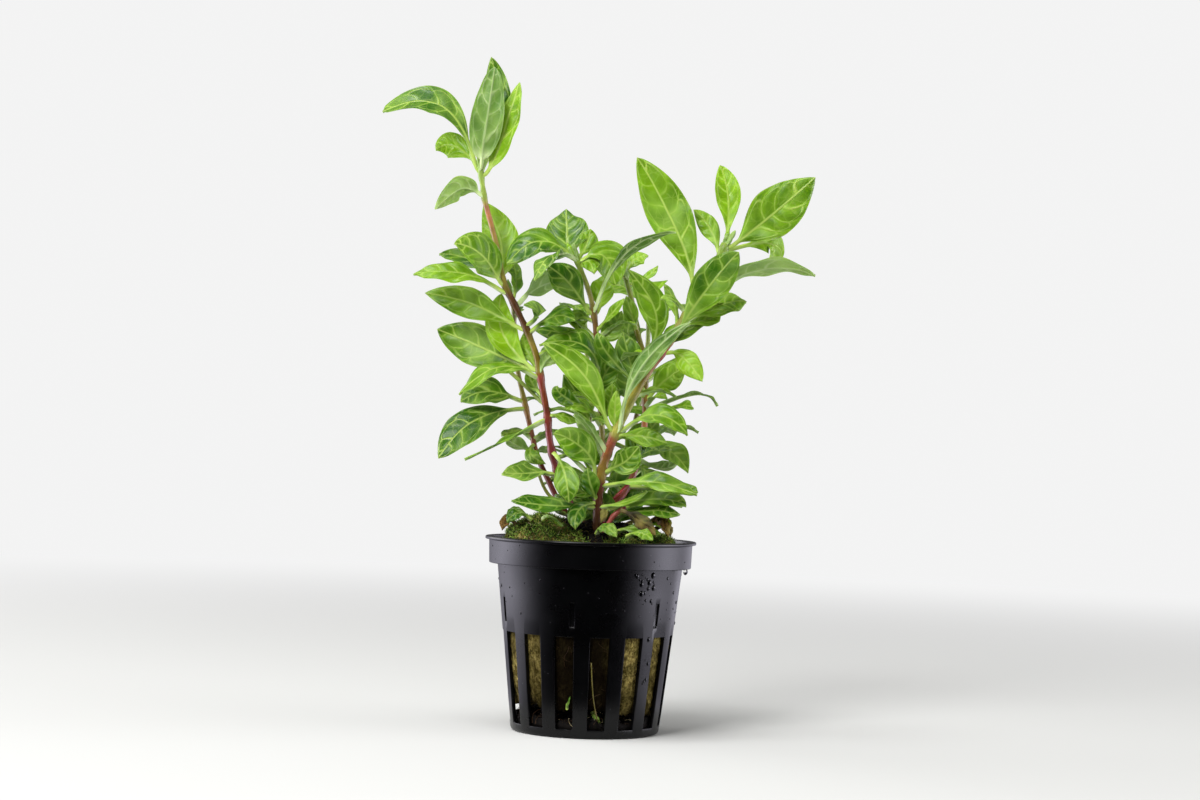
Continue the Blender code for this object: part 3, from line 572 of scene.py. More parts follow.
def stem_finish():
    """Living stem skin, grown: smooth and waxy, its colour in fine pale streaks, partly its own and partly
    painted sheen.
    """
    made, tree = new_material("waxy plant stem skin, grown")
    skin = put(tree, FIELD, attribute_name="skin").outputs["Color"]
    around = put(tree, FIELD, attribute_name="around").outputs["Fac"]
    along = put(tree, FIELD, attribute_name="along_mm").outputs["Fac"]
    drawn_out = put(tree, MATH, (along, 0.02), operation="MULTIPLY")
    flat = put(tree, JOIN, (around, drawn_out, 0.0))
    streak = put(tree, NOISE, {"Vector": flat, "Scale": 14.0, "Detail": 3.0, "Roughness": 0.6})
    streak = put(tree, RANGE, {0: streak, 1: 0.35, 2: 0.68, 3: 0.0, 4: 0.45})
    place = put(tree, PLACE).outputs["Object"]
    # Blotches of 2.4 mm, lighter and darker.
    blotch = put(tree, NOISE, {"Vector": place, "Scale": 420.0, "Detail": 2.0})
    blotch = put(tree, RANGE, {0: blotch, 1: 0.3, 2: 0.7, 3: 0.75, 4: 1.2})
    # The pale streaks are partly the skin's own colour and partly a painted sheen.
    pale = put(tree, MIX, {0: 0.35, 6: skin, 7: linear("#c89a60")}, data_type="RGBA").outputs[2]
    colour = put(tree, MIX, {0: streak, 6: skin, 7: pale}, data_type="RGBA").outputs[2]
    colour = put(tree, MIX, {0: 1.0, 6: colour, 7: blotch}, data_type="RGBA", blend_type="MULTIPLY")
    close_material(tree, {
        "Base Color": colour.outputs[2],
        "Normal": put(tree, BUMP, {"Strength": 0.4, "Distance": 0.1 * MM, "Height": streak}),
        "Roughness": 0.27,
        "Specular IOR Level": 0.34,
        "Subsurface Weight": 0.12,
        "Subsurface Radius": (1.0, 0.4, 0.2),
        "Subsurface Scale": 0.4 * MM,
    })
    return made


def plastic_finish():
    """Polypropylene, injection moulded: near black, satin, with a soft sheen and faint flow marks.

    The flow marks are 11 mm across. The grain is 0.4 mm, where the real one is finer and wouldn't show, and
    the specks are dust and dried water, 0.1 to 0.3 mm across.
    """
    made, tree = new_material("black polypropylene, injection moulded")
    place = put(tree, PLACE).outputs["Object"]
    cloud = put(tree, NOISE, {"Vector": place, "Scale": 90.0, "Detail": 4.0, "Roughness": 0.6})
    grain = put(tree, NOISE, {"Vector": place, "Scale": 2600.0, "Detail": 2.0})
    specks = put(tree, CELLS, {"Vector": place, "Scale": 800.0})
    specks = put(tree, RANGE, {0: specks, 1: 0.05, 2: 0.12, 3: 1.0, 4: 0.0})
    dusty = put(tree, NOISE, {"Vector": place, "Scale": 260.0})
    dusty = put(tree, RANGE, {0: dusty, 1: 0.58, 2: 0.66, 3: 0.0, 4: 0.5})
    dust = put(tree, MATH, (specks, dusty), operation="MULTIPLY")
    black = put(tree, MIX, {0: cloud, 6: linear("#010101"), 7: linear("#040406")}, data_type="RGBA")
    colour = put(tree, MIX, {0: dust, 6: black.outputs[2], 7: linear("#6a6a70")}, data_type="RGBA").outputs[2]
    height = put(tree, MATH, (grain, 0.25, cloud), operation="MULTIPLY_ADD")
    close_material(tree, {
        "Base Color": colour,
        "Roughness": put(tree, RANGE, {0: cloud, 1: 0.3, 2: 0.7, 3: 0.24, 4: 0.34}),
        "Normal": put(tree, BUMP, {"Strength": 0.25, "Distance": 0.08 * MM, "Height": height}),
        "IOR": 1.49,
        "Specular IOR Level": 0.26,
    })
    return made


def wool_finish():
    """Mineral wool, spun: a felt of fine fibres, stained olive by algae and brown by roots, and darkened on
    its front by painted shade.

    A real fibre is about 0.01 mm thick and wouldn't show, so the felt's grain is drawn at 0.7 mm, longer
    upright than across. The darker colours lie in tufts of 2 mm, algae of 5 mm and damp patches of 11 mm.
    """
    made, tree = new_material("mineral wool, spun")
    stain_and_shade = put(tree, FIELD, attribute_name="stain_and_shade").outputs["Fac"]
    place = put(tree, PLACE).outputs["Object"]
    warp = put(tree, NOISE, {"Vector": place, "Scale": 300.0, "Detail": 2.0}).outputs["Color"]
    warp = put(tree, VECTOR, {0: warp, "Scale": 0.004}, operation="SCALE")
    warp = put(tree, VECTOR, (place, warp), operation="ADD")
    stretch = put(tree, "ShaderNodeMapping", {"Vector": warp, "Scale": (1.0, 1.0, 0.4)})
    fibre = put(tree, NOISE, {"Vector": stretch, "Scale": 1500.0, "Detail": 5.0, "Roughness": 0.75})
    light = put(tree, RANGE, {0: fibre, 1: 0.38, 2: 0.62, 3: 0.0, 4: 1.0})
    felt = put(tree, MIX, {0: light, 6: linear("#3a2c08"), 7: linear("#dcc678")}, data_type="RGBA").outputs[2]
    for scale, detail, roughness, low, high, most, colour in (
        (520.0, 3.0, 0.7, 0.46, 0.62, 0.75, "#2c2006"),
        (210.0, 4.0, 0.6, 0.44, 0.64, 0.55, "#4c4c14"),
        (95.0, 2.0, 0.55, 0.44, 0.64, 0.72, "#332a0c"),
    ):
        patch = put(tree, NOISE, {"Vector": place, "Scale": scale, "Detail": detail, "Roughness": roughness})
        patch = put(tree, RANGE, {0: patch, 1: low, 2: high, 3: 0.0, 4: most})
        felt = put(tree, MIX, {0: patch, 6: felt, 7: linear(colour)}, data_type="RGBA").outputs[2]
    # Stains, and the painted shade on the plug's front, take the felt towards near black.
    felt = put(tree, MIX, {0: stain_and_shade, 6: felt, 7: linear("#090401")}, data_type="RGBA").outputs[2]
    close_material(tree, {
        "Base Color": felt,
        "Normal": put(tree, BUMP, {"Strength": 1.0, "Distance": 0.5 * MM, "Height": fibre}),
        "Roughness": 0.95,
        "Specular IOR Level": 0.04,
    })
    return made


def plant_litter_finish(name, dark, light, scale, roughness):
    """Small plant matter, such as moss, roots and crumbs: matt, and uneven in colour over 1.4 to 2.5 mm."""
    made, tree = new_material(name)
    place = put(tree, PLACE).outputs["Object"]
    cloud = put(tree, NOISE, {"Vector": place, "Scale": scale, "Detail": 4.0, "Roughness": 0.65})
    level = put(tree, RANGE, {0: cloud, 1: 0.3, 2: 0.7, 3: 0.0, 4: 1.0})
    colour = put(tree, MIX, {0: level, 6: linear(dark), 7: linear(light)}, data_type="RGBA")
    close_material(tree, {
        "Base Color": colour.outputs[2],
        "Normal": put(tree, BUMP, {"Strength": 0.6, "Distance": 0.15 * MM, "Height": cloud}),
        "Roughness": roughness,
        "Specular IOR Level": 0.18,
    })
    return made


def water_finish():
    """Clean water in a hanging drop: clear and glossy."""
    made, tree = new_material("clean water, in drops")
    close_material(tree, {
        "Base Color": linear("#ffffff"), "Transmission Weight": 1.0, "Roughness": 0.0, "IOR": 1.33,
    })
    return made


def wet_drop_finish():
    """Water in drops that stand on black plastic: they show the black behind them, under a clear gloss."""
    made, tree = new_material("clean water, standing on black plastic")
    place = put(tree, PLACE).outputs["Object"]
    depth = put(tree, NOISE, {"Vector": place, "Scale": 900.0})
    colour = put(tree, MIX, {0: depth, 6: linear("#010102"), 7: linear("#08080c")}, data_type="RGBA")
    close_material(tree, {"Base Color": colour.outputs[2], "Roughness": 0.04, "IOR": 1.33})
    return made


def add_piece(name, points, faces, finishes, slot, patches=()):
    """A mesh object from points in millimetres, riding on the plant's one body. A mere ground has no slot."""
    mesh = bpy.data.meshes.new(name)
    mesh.from_pydata([Vector(p) * MM for p in points], [], faces)
    for finish in finishes:
        mesh.materials.append(finish)
    if patches:
        mesh.polygons.foreach_set("material_index", patches)
    mesh.polygons.foreach_set("use_smooth", [True] * len(mesh.polygons))
    mesh.update()
    piece = bpy.data.objects.new(name, mesh)
    bpy.context.scene.collection.objects.link(piece)
    if slot:
        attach(piece, "root")
    return piece


def add_field(piece, name, values, kind="FLOAT"):
    """Stores a value, or a colour, on every point of the piece."""
    field = piece.data.attributes.new(name, kind, "POINT")
    if kind == "FLOAT":
        field.data.foreach_set("value", values)
    else:
        field.data.foreach_set("color", [channel for colour in values for channel in colour])


def band_faces(first, rings, around):
    """The faces between rings of points, one ring after another from the first point on."""
    faces = []
    for r in range(rings - 1):
        a, b = first + r * around, first + (r + 1) * around
        for i in range(around):
            j = (i + 1) % around
            faces.append((a + i, a + j, b + j, b + i))
    return faces


def cap_faces(foot, tip, first, last, around):
    """The faces that close the first ring at the foot and the last ring at the tip."""
    faces = []
    for i in range(around):
        j = (i + 1) % around
        faces.append((foot, first + j, first + i))
        faces.append((tip, last + i, last + j))
    return faces


def joined_points(node):
    """The points of a solid's mesh, in millimetres and each counted once, and the neighbours of each."""
    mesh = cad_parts[node].data
    merged, neighbours, places, ids = {}, {}, [], []
    for vertex in mesh.vertices:
        key = tuple(round(c * 1e6) for c in vertex.co)
        if key not in merged:
            merged[key] = len(places)
            places.append(vertex.co / MM)
        ids.append(merged[key])
    for edge in mesh.edges:
        a, b = (ids[i] for i in edge.vertices)
        if a != b:
            neighbours.setdefault(a, set()).add(b)
            neighbours.setdefault(b, set()).add(a)
    return places, neighbours


def walk(neighbours, start):
    """The rings of points at each number of steps from the start."""
    rings, seen = [[start]], {start}
    while True:
        ring = sorted({n for p in rings[-1] for n in neighbours[p]} - seen)
        if not ring:
            return rings
        seen |= set(ring)
        rings.append(ring)


def stem_line(name):
    """The stem's centreline and radii, from foot to tip, read from its solid."""
    places, neighbours = joined_points("stem_" + name)
    start = min(range(len(places)), key=lambda i: places[i].z)
    line, radii = [], []
    for ring in walk(neighbours, start)[1:-1]:
        centre = sum((places[i] for i in ring), Vector()) / len(ring)
        line.append(centre)
        radii.append(sum((places[i] - centre).length for i in ring) / len(ring))
    return line, radii


def smooth_line(knots, step):
    """Points about a step apart on a smooth curve through the knots, each with its place counted in knots."""
    ends = [2 * knots[0] - knots[1]] + list(knots) + [2 * knots[-1] - knots[-2]]
    line, counts = [], []
    for n, (a, b, c, d) in enumerate(zip(ends, ends[1:], ends[2:], ends[3:])):
        pieces = max(1, round((c - b).length / step))
        for i in range(pieces):
            t = i / pieces
            square = (2 * a - 5 * b + 4 * c - d) * t**2
            cube = (3 * b - a - 3 * c + d) * t**3
            line.append(0.5 * (2 * b + (c - a) * t + square + cube))
            counts.append(n + t)
    return line + [Vector(knots[-1])], counts + [len(knots) - 1.0]


def frames_along(line):
    """For each point of a line, two ways across it that don't twist."""
    ways = []
    across = None
    for i in range(len(line)):
        along = (line[min(i + 1, len(line) - 1)] - line[max(i - 1, 0)]).normalized()
        if across is None:
            across = along.cross(Vector((0.3, 1, 0.1)))
        across = (across - across.dot(along) * along).normalized()
        ways.append((across, along.cross(across)))
    return ways


def tube(line, radii, sides, points, faces, squareness=0.0):
    """Adds a round bar along a line, closed at its ends. Returns each point's angle and index on the line."""
    start = len(points)
    marks = []
    for i, ((across, other), radius) in enumerate(zip(frames_along(line), radii)):
        for k in range(sides):
            angle = k * math.tau / sides
            reach = radius * (1 + squareness * math.cos(4 * angle))
            points.append(line[i] + reach * (math.cos(angle) * across + math.sin(angle) * other))
            marks.append((angle, i))
    faces += band_faces(start, len(line), sides)
    points.append(line[0] - (line[1] - line[0]).normalized() * radii[0] * 0.4)
    points.append(line[-1] + (line[-1] - line[-2]).normalized() * radii[-1] * 0.6)
    marks += [(0.0, 0), (0.0, len(line) - 1)]
    faces += cap_faces(len(points) - 2, len(points) - 1, start, start + (len(line) - 1) * sides, sides)
    return marks


def blend_colours(bands, height):
    """The colour at a height between two bands."""
    if height <= bands[0][0]:
        return linear(bands[0][1])
    for (low, below), (high, above) in zip(bands, bands[1:]):
        if height <= high:
            share = (height - low) / (high - low)
            return tuple(a + (b - a) * share for a, b in zip(linear(below), linear(above)))
    return linear(bands[-1][1])


def add_stem_fields(piece, colours, marks, run):
    """Stores what the stem's finish needs: the skin's colour, and places round it and along it."""
    add_field(piece, "skin", colours, "FLOAT_COLOR")
    add_field(piece, "around", [math.cos(angle) for angle, _ in marks])
    add_field(piece, "along_mm", run)


def make_stem(name, nodes_at, finish):
    """A cutting's stem: a little square in section, swollen and ringed where its leaves leave it."""
    knots, knot_radii = stem_line(name)
    line, counts = smooth_line(knots, 0.9)
    radii = []
    for spot, count in zip(line, counts):
        low = min(int(count), len(knot_radii) - 2)
        radius = knot_radii[low] + (knot_radii[low + 1] - knot_radii[low]) * (count - low)
        swell = max((math.exp(-(((spot.z - z) / 1.5) ** 2)) for z in nodes_at), default=0)
        pinch = max((math.exp(-(((spot.z - z - 2.6) / 1.1) ** 2)) for z in nodes_at), default=0)
        radii.append(radius * (0.97 + 0.3 * swell - 0.07 * pinch + 0.03 * noise.noise(spot * 0.3)))
    points, faces = [], []
    marks = tube(line, radii, 16, points, faces, 0.06)
    piece = add_piece("stalk_" + name, points, faces, [finish], "stem")
    run = [0.0]
    for a, b in zip(line, line[1:]):
        run.append(run[-1] + (b - a).length)
    colours = []
    for point, (_, i) in zip(points, marks):
        height = line[i].z + 1.5 * noise.noise(Vector(point) * 0.25)
        colours.append(blend_colours(STEM_SKINS[name], height))
    add_stem_fields(piece, colours, marks, [run[i] + 3 * math.sin(angle) for angle, i in marks])
    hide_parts("stem_" + name)
    return line


def at_height(line, height):
    """The stem's centre at a height."""
    for low, high in zip(line, line[1:]):
        if low.z <= height <= high.z:
            return low.lerp(high, (height - low.z) / (high.z - low.z))
    return line[-1]


def blade_width(width, share, fullness, bluntness, taper):
    """The blade's width along its length: it widens from the stalk to past its middle, and ends blunt."""
    if share <= PETIOLE_SHARE:
        return PETIOLE_WIDTH
    along = (share - PETIOLE_SHARE) / (1 - PETIOLE_SHARE)
    wave = along**fullness
    blade = width * max(math.sin(math.pi * wave), 0.0) ** (taper if wave < 0.5 else bluntness)
    return max(blade, PETIOLE_WIDTH * (1 - along) ** 0.5, 0.12)


def side_of(across):
    """0 on the left of the midrib and 1 on the right."""
    return 0 if across < 0 else 1


def age_shade(height):
    """How much darker a leaf is painted for where it leaves the stem: painted shade, deepest on the low
    leaves under the others.
    """
    return -0.45 * max(0.0, min(1.0, (92 - height) / 32))


def looking(words):
    """The way that a leaf's upper side looks, from words such as up and front."""
    return sum((SIDES[word] for word in words.split()), Vector())


class LeafHeap:
    """Points, faces and fields of one or more leaves that become one piece."""

    def __init__(self):
        self.points, self.faces, self.patches = [], [], []
        self.fields = {field: [] for field in LEAF_FIELDS}

    def add_leaf(self, rib, normals, width, seed, tone, contrast, steps=LEAF_STEPS, lanes=LEAF_LANES,
                 taper=USUAL_BASE, crumple=0.0, blunt=None):
        """A leaf along its midrib: two skins that meet at the margin, with a keel below the midrib."""
        chance = random.Random(seed)
        length = sum((b - a).length for a, b in zip(rib, rib[1:]))
        waves = chance.uniform(1.6, 2.8)
        phases = (chance.uniform(0, math.tau), chance.uniform(0, math.tau))
        lift = (0.25 + 0.035 * width) * min(1.0, length / 20)
        vein_step = max(2.2, length / chance.uniform(4.3, 5.8))
        drift = Vector((chance.uniform(0, 50), chance.uniform(0, 50), 0))
        curl = chance.uniform(-0.5, 0.9)
        fullness = chance.uniform(1.04, 1.3) * min(1.0, taper / 1.1)
        bluntness = chance.uniform(0.68, 0.95)
        bluntness = blunt or bluntness
        rows = []
        for i, (spot, normal) in enumerate(zip(rib, normals)):
            share = i / steps
            along = (rib[min(i + 1, steps)] - rib[max(i - 1, 0)]).normalized()
            normal = (normal - normal.dot(along) * along).normalized()
            across = along.cross(normal)
            half = blade_width(width, share, fullness, bluntness, taper) / 2
            # 0 on the stalk and 1 on the open blade.
            blade = max(0.0, min(1.0, (half - 0.55) / 1.2))
            keel = (0.52 * (1 - share) ** 1.3 + 0.06) * (1 if share < 0.97 else 0.4)
            row = []
            for layer in (1, -1):
                for k in range(lanes + 1):
                    u = 2 * k / lanes - 1
                    # The lower skin has no margin of its own.
                    if abs(u) == 1 and layer < 0:
                        row.append(None)
                        continue
                    reach = math.copysign(abs(u) ** 1.25, u)
                    uneven = noise.noise(Vector((share * 9, u * 0.4, 0)) + drift)
                    x = reach * half * (1 + MARGIN_NOISE * uneven)
                    x *= 1 + 0.3 * crumple * noise.noise(Vector((share * 13, side_of(u), 8)) + drift)
                    wave = math.sin(math.tau * waves * share + phases[side_of(u)]) * math.sin(math.pi * share)
                    rise = BLADE_FOLD * abs(x) * (1 - 0.5 * share) + lift * wave * abs(reach) ** 2 * blade
                    rise += DIMPLES * blade * noise.noise(Vector((share * 5, u * 1.5, 3)) + drift)
                    rise -= curl * abs(reach) ** 2 * blade
                    rise += crumple * blade * noise.noise(Vector((share * 7, u * 2.5, 11)) + drift)
                    rise += 0.5 * crumple * blade * noise.noise(Vector((share * 16, u * 6, 5)) + drift)
                    edge = 1 - abs(u) ** 3
                    thick = (BLADE_THICKNESS / 2 + 0.25 * (1 - blade)) * edge
                    if layer < 0:
                        thick += keel * math.exp(-((x / (0.28 + 0.25 * (1 - share))) ** 2)) * edge
                    else:
                        rise -= FURROW * blade * math.exp(-((x / 0.35) ** 2)) * (1 - share)
                    self.points.append(spot + across * x + normal * (rise + layer * thick))
                    row.append(len(self.points) - 1)
                    values = (share * length, x, max(half, 0.1), vein_step, share, tone, contrast)
                    for field, value in zip(LEAF_FIELDS, values):
                        self.fields[field].append(value)
            upper, lower = row[: lanes + 1], row[lanes + 1 :]
            lower[0], lower[-1] = upper[0], upper[-1]
            rows.append((upper, lower))
        for (up_a, low_a), (up_b, low_b) in zip(rows, rows[1:]):
            for k in range(lanes):
                self.faces.append((up_a[k], up_b[k], up_b[k + 1], up_a[k + 1]))
                self.patches.append(0)
                self.faces.append((low_a[k + 1], low_b[k + 1], low_b[k], low_a[k]))
                self.patches.append(1)
        for (upper, lower), turned in ((rows[0], False), (rows[-1], True)):
            ring = upper + lower[-2:0:-1]
            self.faces.append(tuple(reversed(ring)) if turned else tuple(ring))
            self.patches.append(1)

    def piece(self, name, finishes):
        """The heap as one object, with its upper and its lower finish."""
        made = add_piece(name, self.points, self.faces, finishes, "leaf", self.patches)
        for field, values in self.fields.items():
            add_field(made, field, values)
        made.data.set_sharp_from_angle(angle=math.radians(70))
        return made


def leaf_line(base, bend, tip, steps, root=None, curve=0.0, side=Vector()):
    """Points along a midrib, from inside the stem through the base and out to the tip."""
    points = []
    for i in range(steps + 1):
        t = i / steps
        spot = (1 - t) ** 2 * base + 2 * t * (1 - t) * bend + t**2 * tip
        points.append(spot + side * curve * math.sin(math.tau * t) * (1 - t))
    if root is not None:
        points[0] = root
        points[1] = points[1].lerp(root, 0.25)
    return points


def rib_through(start, middle, tip, steps):
    """A midrib whose middle is given."""
    return leaf_line(start, 2 * middle - (start + tip) / 2, tip, steps)


def is_end(i, neighbours):
    """True for one of the two points where a leaf's solid ends; every point of a ring has another place."""
    around = neighbours[i]
    return len(around) == 4 and all(len(neighbours[n] & around) >= 2 for n in around)


def read_leaf(node):
    """A leaf's base, bend, tip and width, its upper normals at the stations, and the name of its stem."""
    places, neighbours = joined_points(node)
    ends = [i for i in neighbours if is_end(i, neighbours)]
    words = node.split("_")
    stem = "_".join(words[1:3]) if words[1] == "back" else words[1]
    ends.sort(key=lambda i: min((places[i] - p).length for p in STEM_LINES[stem]))
    rings = walk(neighbours, ends[0])
    base, tip = places[rings[0][0]], places[rings[-1][0]]
    normals, ribs, widths = [], [], []
    for ring in rings[1:-1]:
        spots = [places[i] for i in ring]
        pairs = [(a, b) for n, a in enumerate(spots) for b in spots[n + 1 :]]
        left, right = max(pairs, key=lambda pair: (pair[0] - pair[1]).length)
        up, down = [p for p in spots if p is not left and p is not right]
        middle = (up + down) / 2
        ribs.append(middle)
        widths.append((left - right).length)
        normals.append((up - down, (left + right) / 2 - middle))
    # Each station's normal is turned to agree with the last one's, and all of them to the side that the
    # blade folds towards.
    last = normals[0][0]
    aligned, total = [], 0.0
    for way, lifted in normals:
        last = way.normalized() if way.dot(last) > 0 else -way.normalized()
        aligned.append(last)
        total += lifted.dot(last)
    if total < 0:
        aligned = [-way for way in aligned]
    s = STATIONS[4]
    bend = (ribs[4] - (1 - s) ** 2 * base - s**2 * tip) / (2 * s * (1 - s))
    return base, bend, tip, max(widths) * 1.01, aligned, stem


def spread_normals(aligned, steps):
    """The stations' normals, drawn out over all steps of a finer leaf."""
    stations = (0.0,) + STATIONS + (1.0,)
    aligned = [aligned[0]] + aligned + [aligned[-1]]
    normals = []
    for i in range(steps + 1):
        t = i / steps
        for (a, low), (b, high) in zip(zip(stations, aligned), zip(stations[1:], aligned[1:])):
            if t <= b:
                normals.append(low.lerp(high, (t - a) / (b - a)).normalized())
                break
    return normals


# Each stem's centreline, coarse as its solid has it, until make_stem gives the fine one.
STEM_LINES = {name: stem_line(name)[0] for name in STEM_SKINS}


def make_large_leaf(node, finishes):
    """A leaf of the solid model, finer."""
    name = node[len("leaf_") :]
    base, bend, tip, width, aligned, stem = read_leaf(node)
    near = min(STEM_LINES[stem], key=lambda p: abs(p.z - base.z))
    root = base.lerp(Vector((near.x, near.y, base.z)), 0.6)
    chance = random.Random(name)
    across = (tip - base).cross(aligned[3]).normalized()
    rib = leaf_line(base, bend, tip, LEAF_STEPS, root, chance.uniform(-0.8, 0.8), across)
    tone = LEAF_TONES_WITH_PAINTED_LIGHT.get(name, chance.uniform(-0.4, 0.3) + age_shade(base.z))
    contrast = STRONG_CONTRAST if name in STRONG_VEINS else chance.uniform(0.7, 0.95)
    width *= BLADE_SHARES.get(name, 1.0)
    heap = LeafHeap()
    heap.add_leaf(rib, spread_normals(aligned, LEAF_STEPS), width, name, tone, contrast,
                  taper=BLADE_BASES.get(name, USUAL_BASE), blunt=BLADE_TIPS.get(name))
    piece = heap.piece("blade_" + name, finishes)
    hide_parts(node)


def make_leaves(finishes):
    """Every leaf of the solid model, and the small leaves between them, one piece for each stem."""
    for node in sorted(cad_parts):
        if node.startswith("leaf_"):
            make_large_leaf(node, finishes)
    heaps = {}
    for n, (stem, height, middle, tip, width, words, tone) in enumerate(SMALL_LEAVES):
        centre = at_height(STEM_LINES[stem], height)
        rib = rib_through(centre, Vector(middle), Vector(tip), SMALL_STEPS)
        heap = heaps.setdefault(stem, LeafHeap())
        heap.add_leaf(rib, [looking(words)] * (SMALL_STEPS + 1), width, n, tone + age_shade(height),
                      SMALL_CONTRAST, SMALL_STEPS, SMALL_LANES)
    for stem, first, spacing, pairs, length, turn in YOUNG_PAIRS:
        heap = heaps.setdefault(stem, LeafHeap())
        add_young_pairs(heap, stem, first, spacing, pairs, length, turn)
    for stem in STEM_SKINS:
        heap = heaps.setdefault(stem, LeafHeap())
        add_bud(heap, stem)
    for stem, heap in heaps.items():
        heap.piece("small_leaves_" + stem, finishes)


def add_young_pairs(heap, stem, first, spacing, pairs, length, turn):
    """Opposite leaves up a stem, each pair a quarter turn on, but none in front of the stem."""
    chance = random.Random(stem + " young")
    for n in range(pairs):
        height = first + n * spacing + chance.uniform(-1.5, 1.5)
        centre = at_height(STEM_LINES[stem], height)
        for half_turn in (0, 180):
            angle = math.radians(turn + 90 * n + half_turn + chance.uniform(-20, 20))
            size = length * chance.uniform(0.7, 1.15)
            rise = chance.uniform(-0.05, 0.45)
            if math.sin(angle) < -0.45:
                continue
            out = Vector((math.cos(angle), math.sin(angle), 0))
            middle = centre + out * size * 0.55 + Vector((0, 0, size * (rise * 0.7 + 0.12)))
            tip = centre + out * size + Vector((0, 0, size * rise))
            if tip.y > 34 or abs(tip.x) > 50:
                continue
            rib = rib_through(centre, middle, tip, YOUNG_STEPS)
            upper = Vector((chance.uniform(-0.3, 0.3), chance.uniform(-0.6, 0.1), 1)) - 0.4 * out
            tone = chance.uniform(-0.5, 0.5) + age_shade(height)
            width = size * chance.uniform(0.32, 0.44)
            heap.add_leaf(rib, [upper] * (YOUNG_STEPS + 1), width, str(angle), tone, SMALL_CONTRAST,
                          YOUNG_STEPS, YOUNG_LANES)


def add_bud(heap, stem):
    """The tip of a shoot: two pairs of folded leaves a few millimetres long, crossed."""
    line = STEM_LINES[stem]
    top = line[-1]
    along = (line[-1] - line[-4]).normalized()
    chance = random.Random(stem + " bud")
    turn = chance.uniform(0, math.pi)
    for n, (size, lean) in enumerate(BUD_LEAVES):
        angle = turn + n * math.pi / 2
        out = Vector((math.cos(angle), math.sin(angle), 0))
        tip = top + along * size * 0.9 + out * size * lean
        middle = top + along * size * 0.45 + out * size * (lean * 0.5 + 0.1)
        rib = leaf_line(top - along * 0.6, 2 * middle - (top + tip) / 2, tip, BUD_STEPS)
        heap.add_leaf(rib, [along * 0.3 - out] * (BUD_STEPS + 1), size * 0.34, stem + str(n), 0.8,
                      BUD_CONTRAST, BUD_STEPS, BUD_LANES)


def wall_radius(z):
    """The outside of the pot's tapered wall at a height."""
    return WALL_FOOT_RADIUS + (WALL_TOP_RADIUS - WALL_FOOT_RADIUS) * z / COLLAR_FOOT


def polar(radius, angle, z):
    """A point at a radius and an angle round the pot's axis."""
    return Vector((radius * math.cos(angle), radius * math.sin(angle), z))


def rounded(profile):
    """The pot's section, with each corner given its radius as a few short steps."""
    section = []
    for n, (corner, radius) in enumerate(profile):
        corner = Vector(corner)
        if not radius:
            section.append(corner)
            continue
        before = Vector(profile[n - 1][0])
        after = Vector(profile[(n + 1) % len(profile)][0])
        start = corner + (before - corner).normalized() * radius
        end = corner + (after - corner).normalized() * radius
        for i in range(5):
            t = i / 4
            section.append((1 - t) ** 2 * start + 2 * t * (1 - t) * corner + t**2 * end)
    return section


def pot_section():
    """Corners from the underside's rim, up outside, over the lip and down inside, each with its rounding."""
    hang = COLLAR_FOOT + COLLAR_HANG
    lip_foot = POT_HEIGHT - LIP_THICKNESS
    collar_top = COLLAR_RADIUS + COLLAR_FLARE
    outside = [((wall_radius(0.0) - 1.3, 0.0), 0.0), ((wall_radius(0.0) - 0.1, 0.0), 0.9)]
    outside += [((wall_radius(z), z), 0.0) for z in (6.0, 12.0, 18.0, 24.0, 30.0, 36.0)]
    collar = [
        ((wall_radius(hang), hang), 0.25),
        ((COLLAR_RADIUS - SKIRT_WALL, hang), 0.15),
        ((COLLAR_RADIUS - SKIRT_WALL, COLLAR_FOOT), 0.15),
        ((COLLAR_RADIUS, COLLAR_FOOT), 0.22),
        ((collar_top, lip_foot), 0.3),
        ((LIP_RADIUS, lip_foot), 0.3),
        ((LIP_RADIUS, POT_HEIGHT), 0.36),
        ((collar_top - WALL, POT_HEIGHT), 0.3),
        ((COLLAR_RADIUS - WALL, hang + WALL), 0.3),
        ((wall_radius(hang) - WALL, hang + WALL), 0.3),
    ]
    inside = [((wall_radius(FLOOR) - WALL, FLOOR), 0.5)]
    return rounded(outside + collar + inside)


def shape_tree(name, sockets):
    """A Geometry Nodes tree with named inputs, and the node that gives them."""
    kinds = {float: "NodeSocketFloat", int: "NodeSocketInt", "material": "NodeSocketMaterial"}
    tree = bpy.data.node_groups.new(name, "GeometryNodeTree")
    tree.interface.new_socket("Geometry", in_out="INPUT", socket_type="NodeSocketGeometry")
    for label, kind in sockets:
        tree.interface.new_socket(label, in_out="INPUT", socket_type=kinds[kind])
    tree.interface.new_socket("Geometry", in_out="OUTPUT", socket_type="NodeSocketGeometry")
    return tree, put(tree, "NodeGroupInput").outputs


def close_shape(tree, instances, given):
    """Ends a tree that makes instances: they become real, and get the finish."""
    whole = put(tree, "GeometryNodeRealizeInstances", {"Geometry": instances})
    finished = put(tree, "GeometryNodeSetMaterial", {"Geometry": whole, "Material": given["Finish"]})
    put(tree, "NodeGroupOutput", {"Geometry": finished})


def run_tree(name, ground, tree, values):
    """Sets the tree's inputs on the ground, and puts the plain result in the ground's place."""
    modifier = ground.modifiers.new("shape", "NODES")
    modifier.node_group = tree
    for item in tree.interface.items_tree:
        if item.item_type == "SOCKET" and item.in_out == "INPUT" and item.name in values:
            modifier[item.identifier] = values[item.name]
    graph = bpy.context.evaluated_depsgraph_get()
    mesh = bpy.data.meshes.new_from_object(ground.evaluated_get(graph))
    mesh.name = name
    bpy.data.objects.remove(ground)
    mesh.polygons.foreach_set("use_smooth", [True] * len(mesh.polygons))
    piece = bpy.data.objects.new(name, mesh)
    bpy.context.scene.collection.objects.link(piece)
    return piece


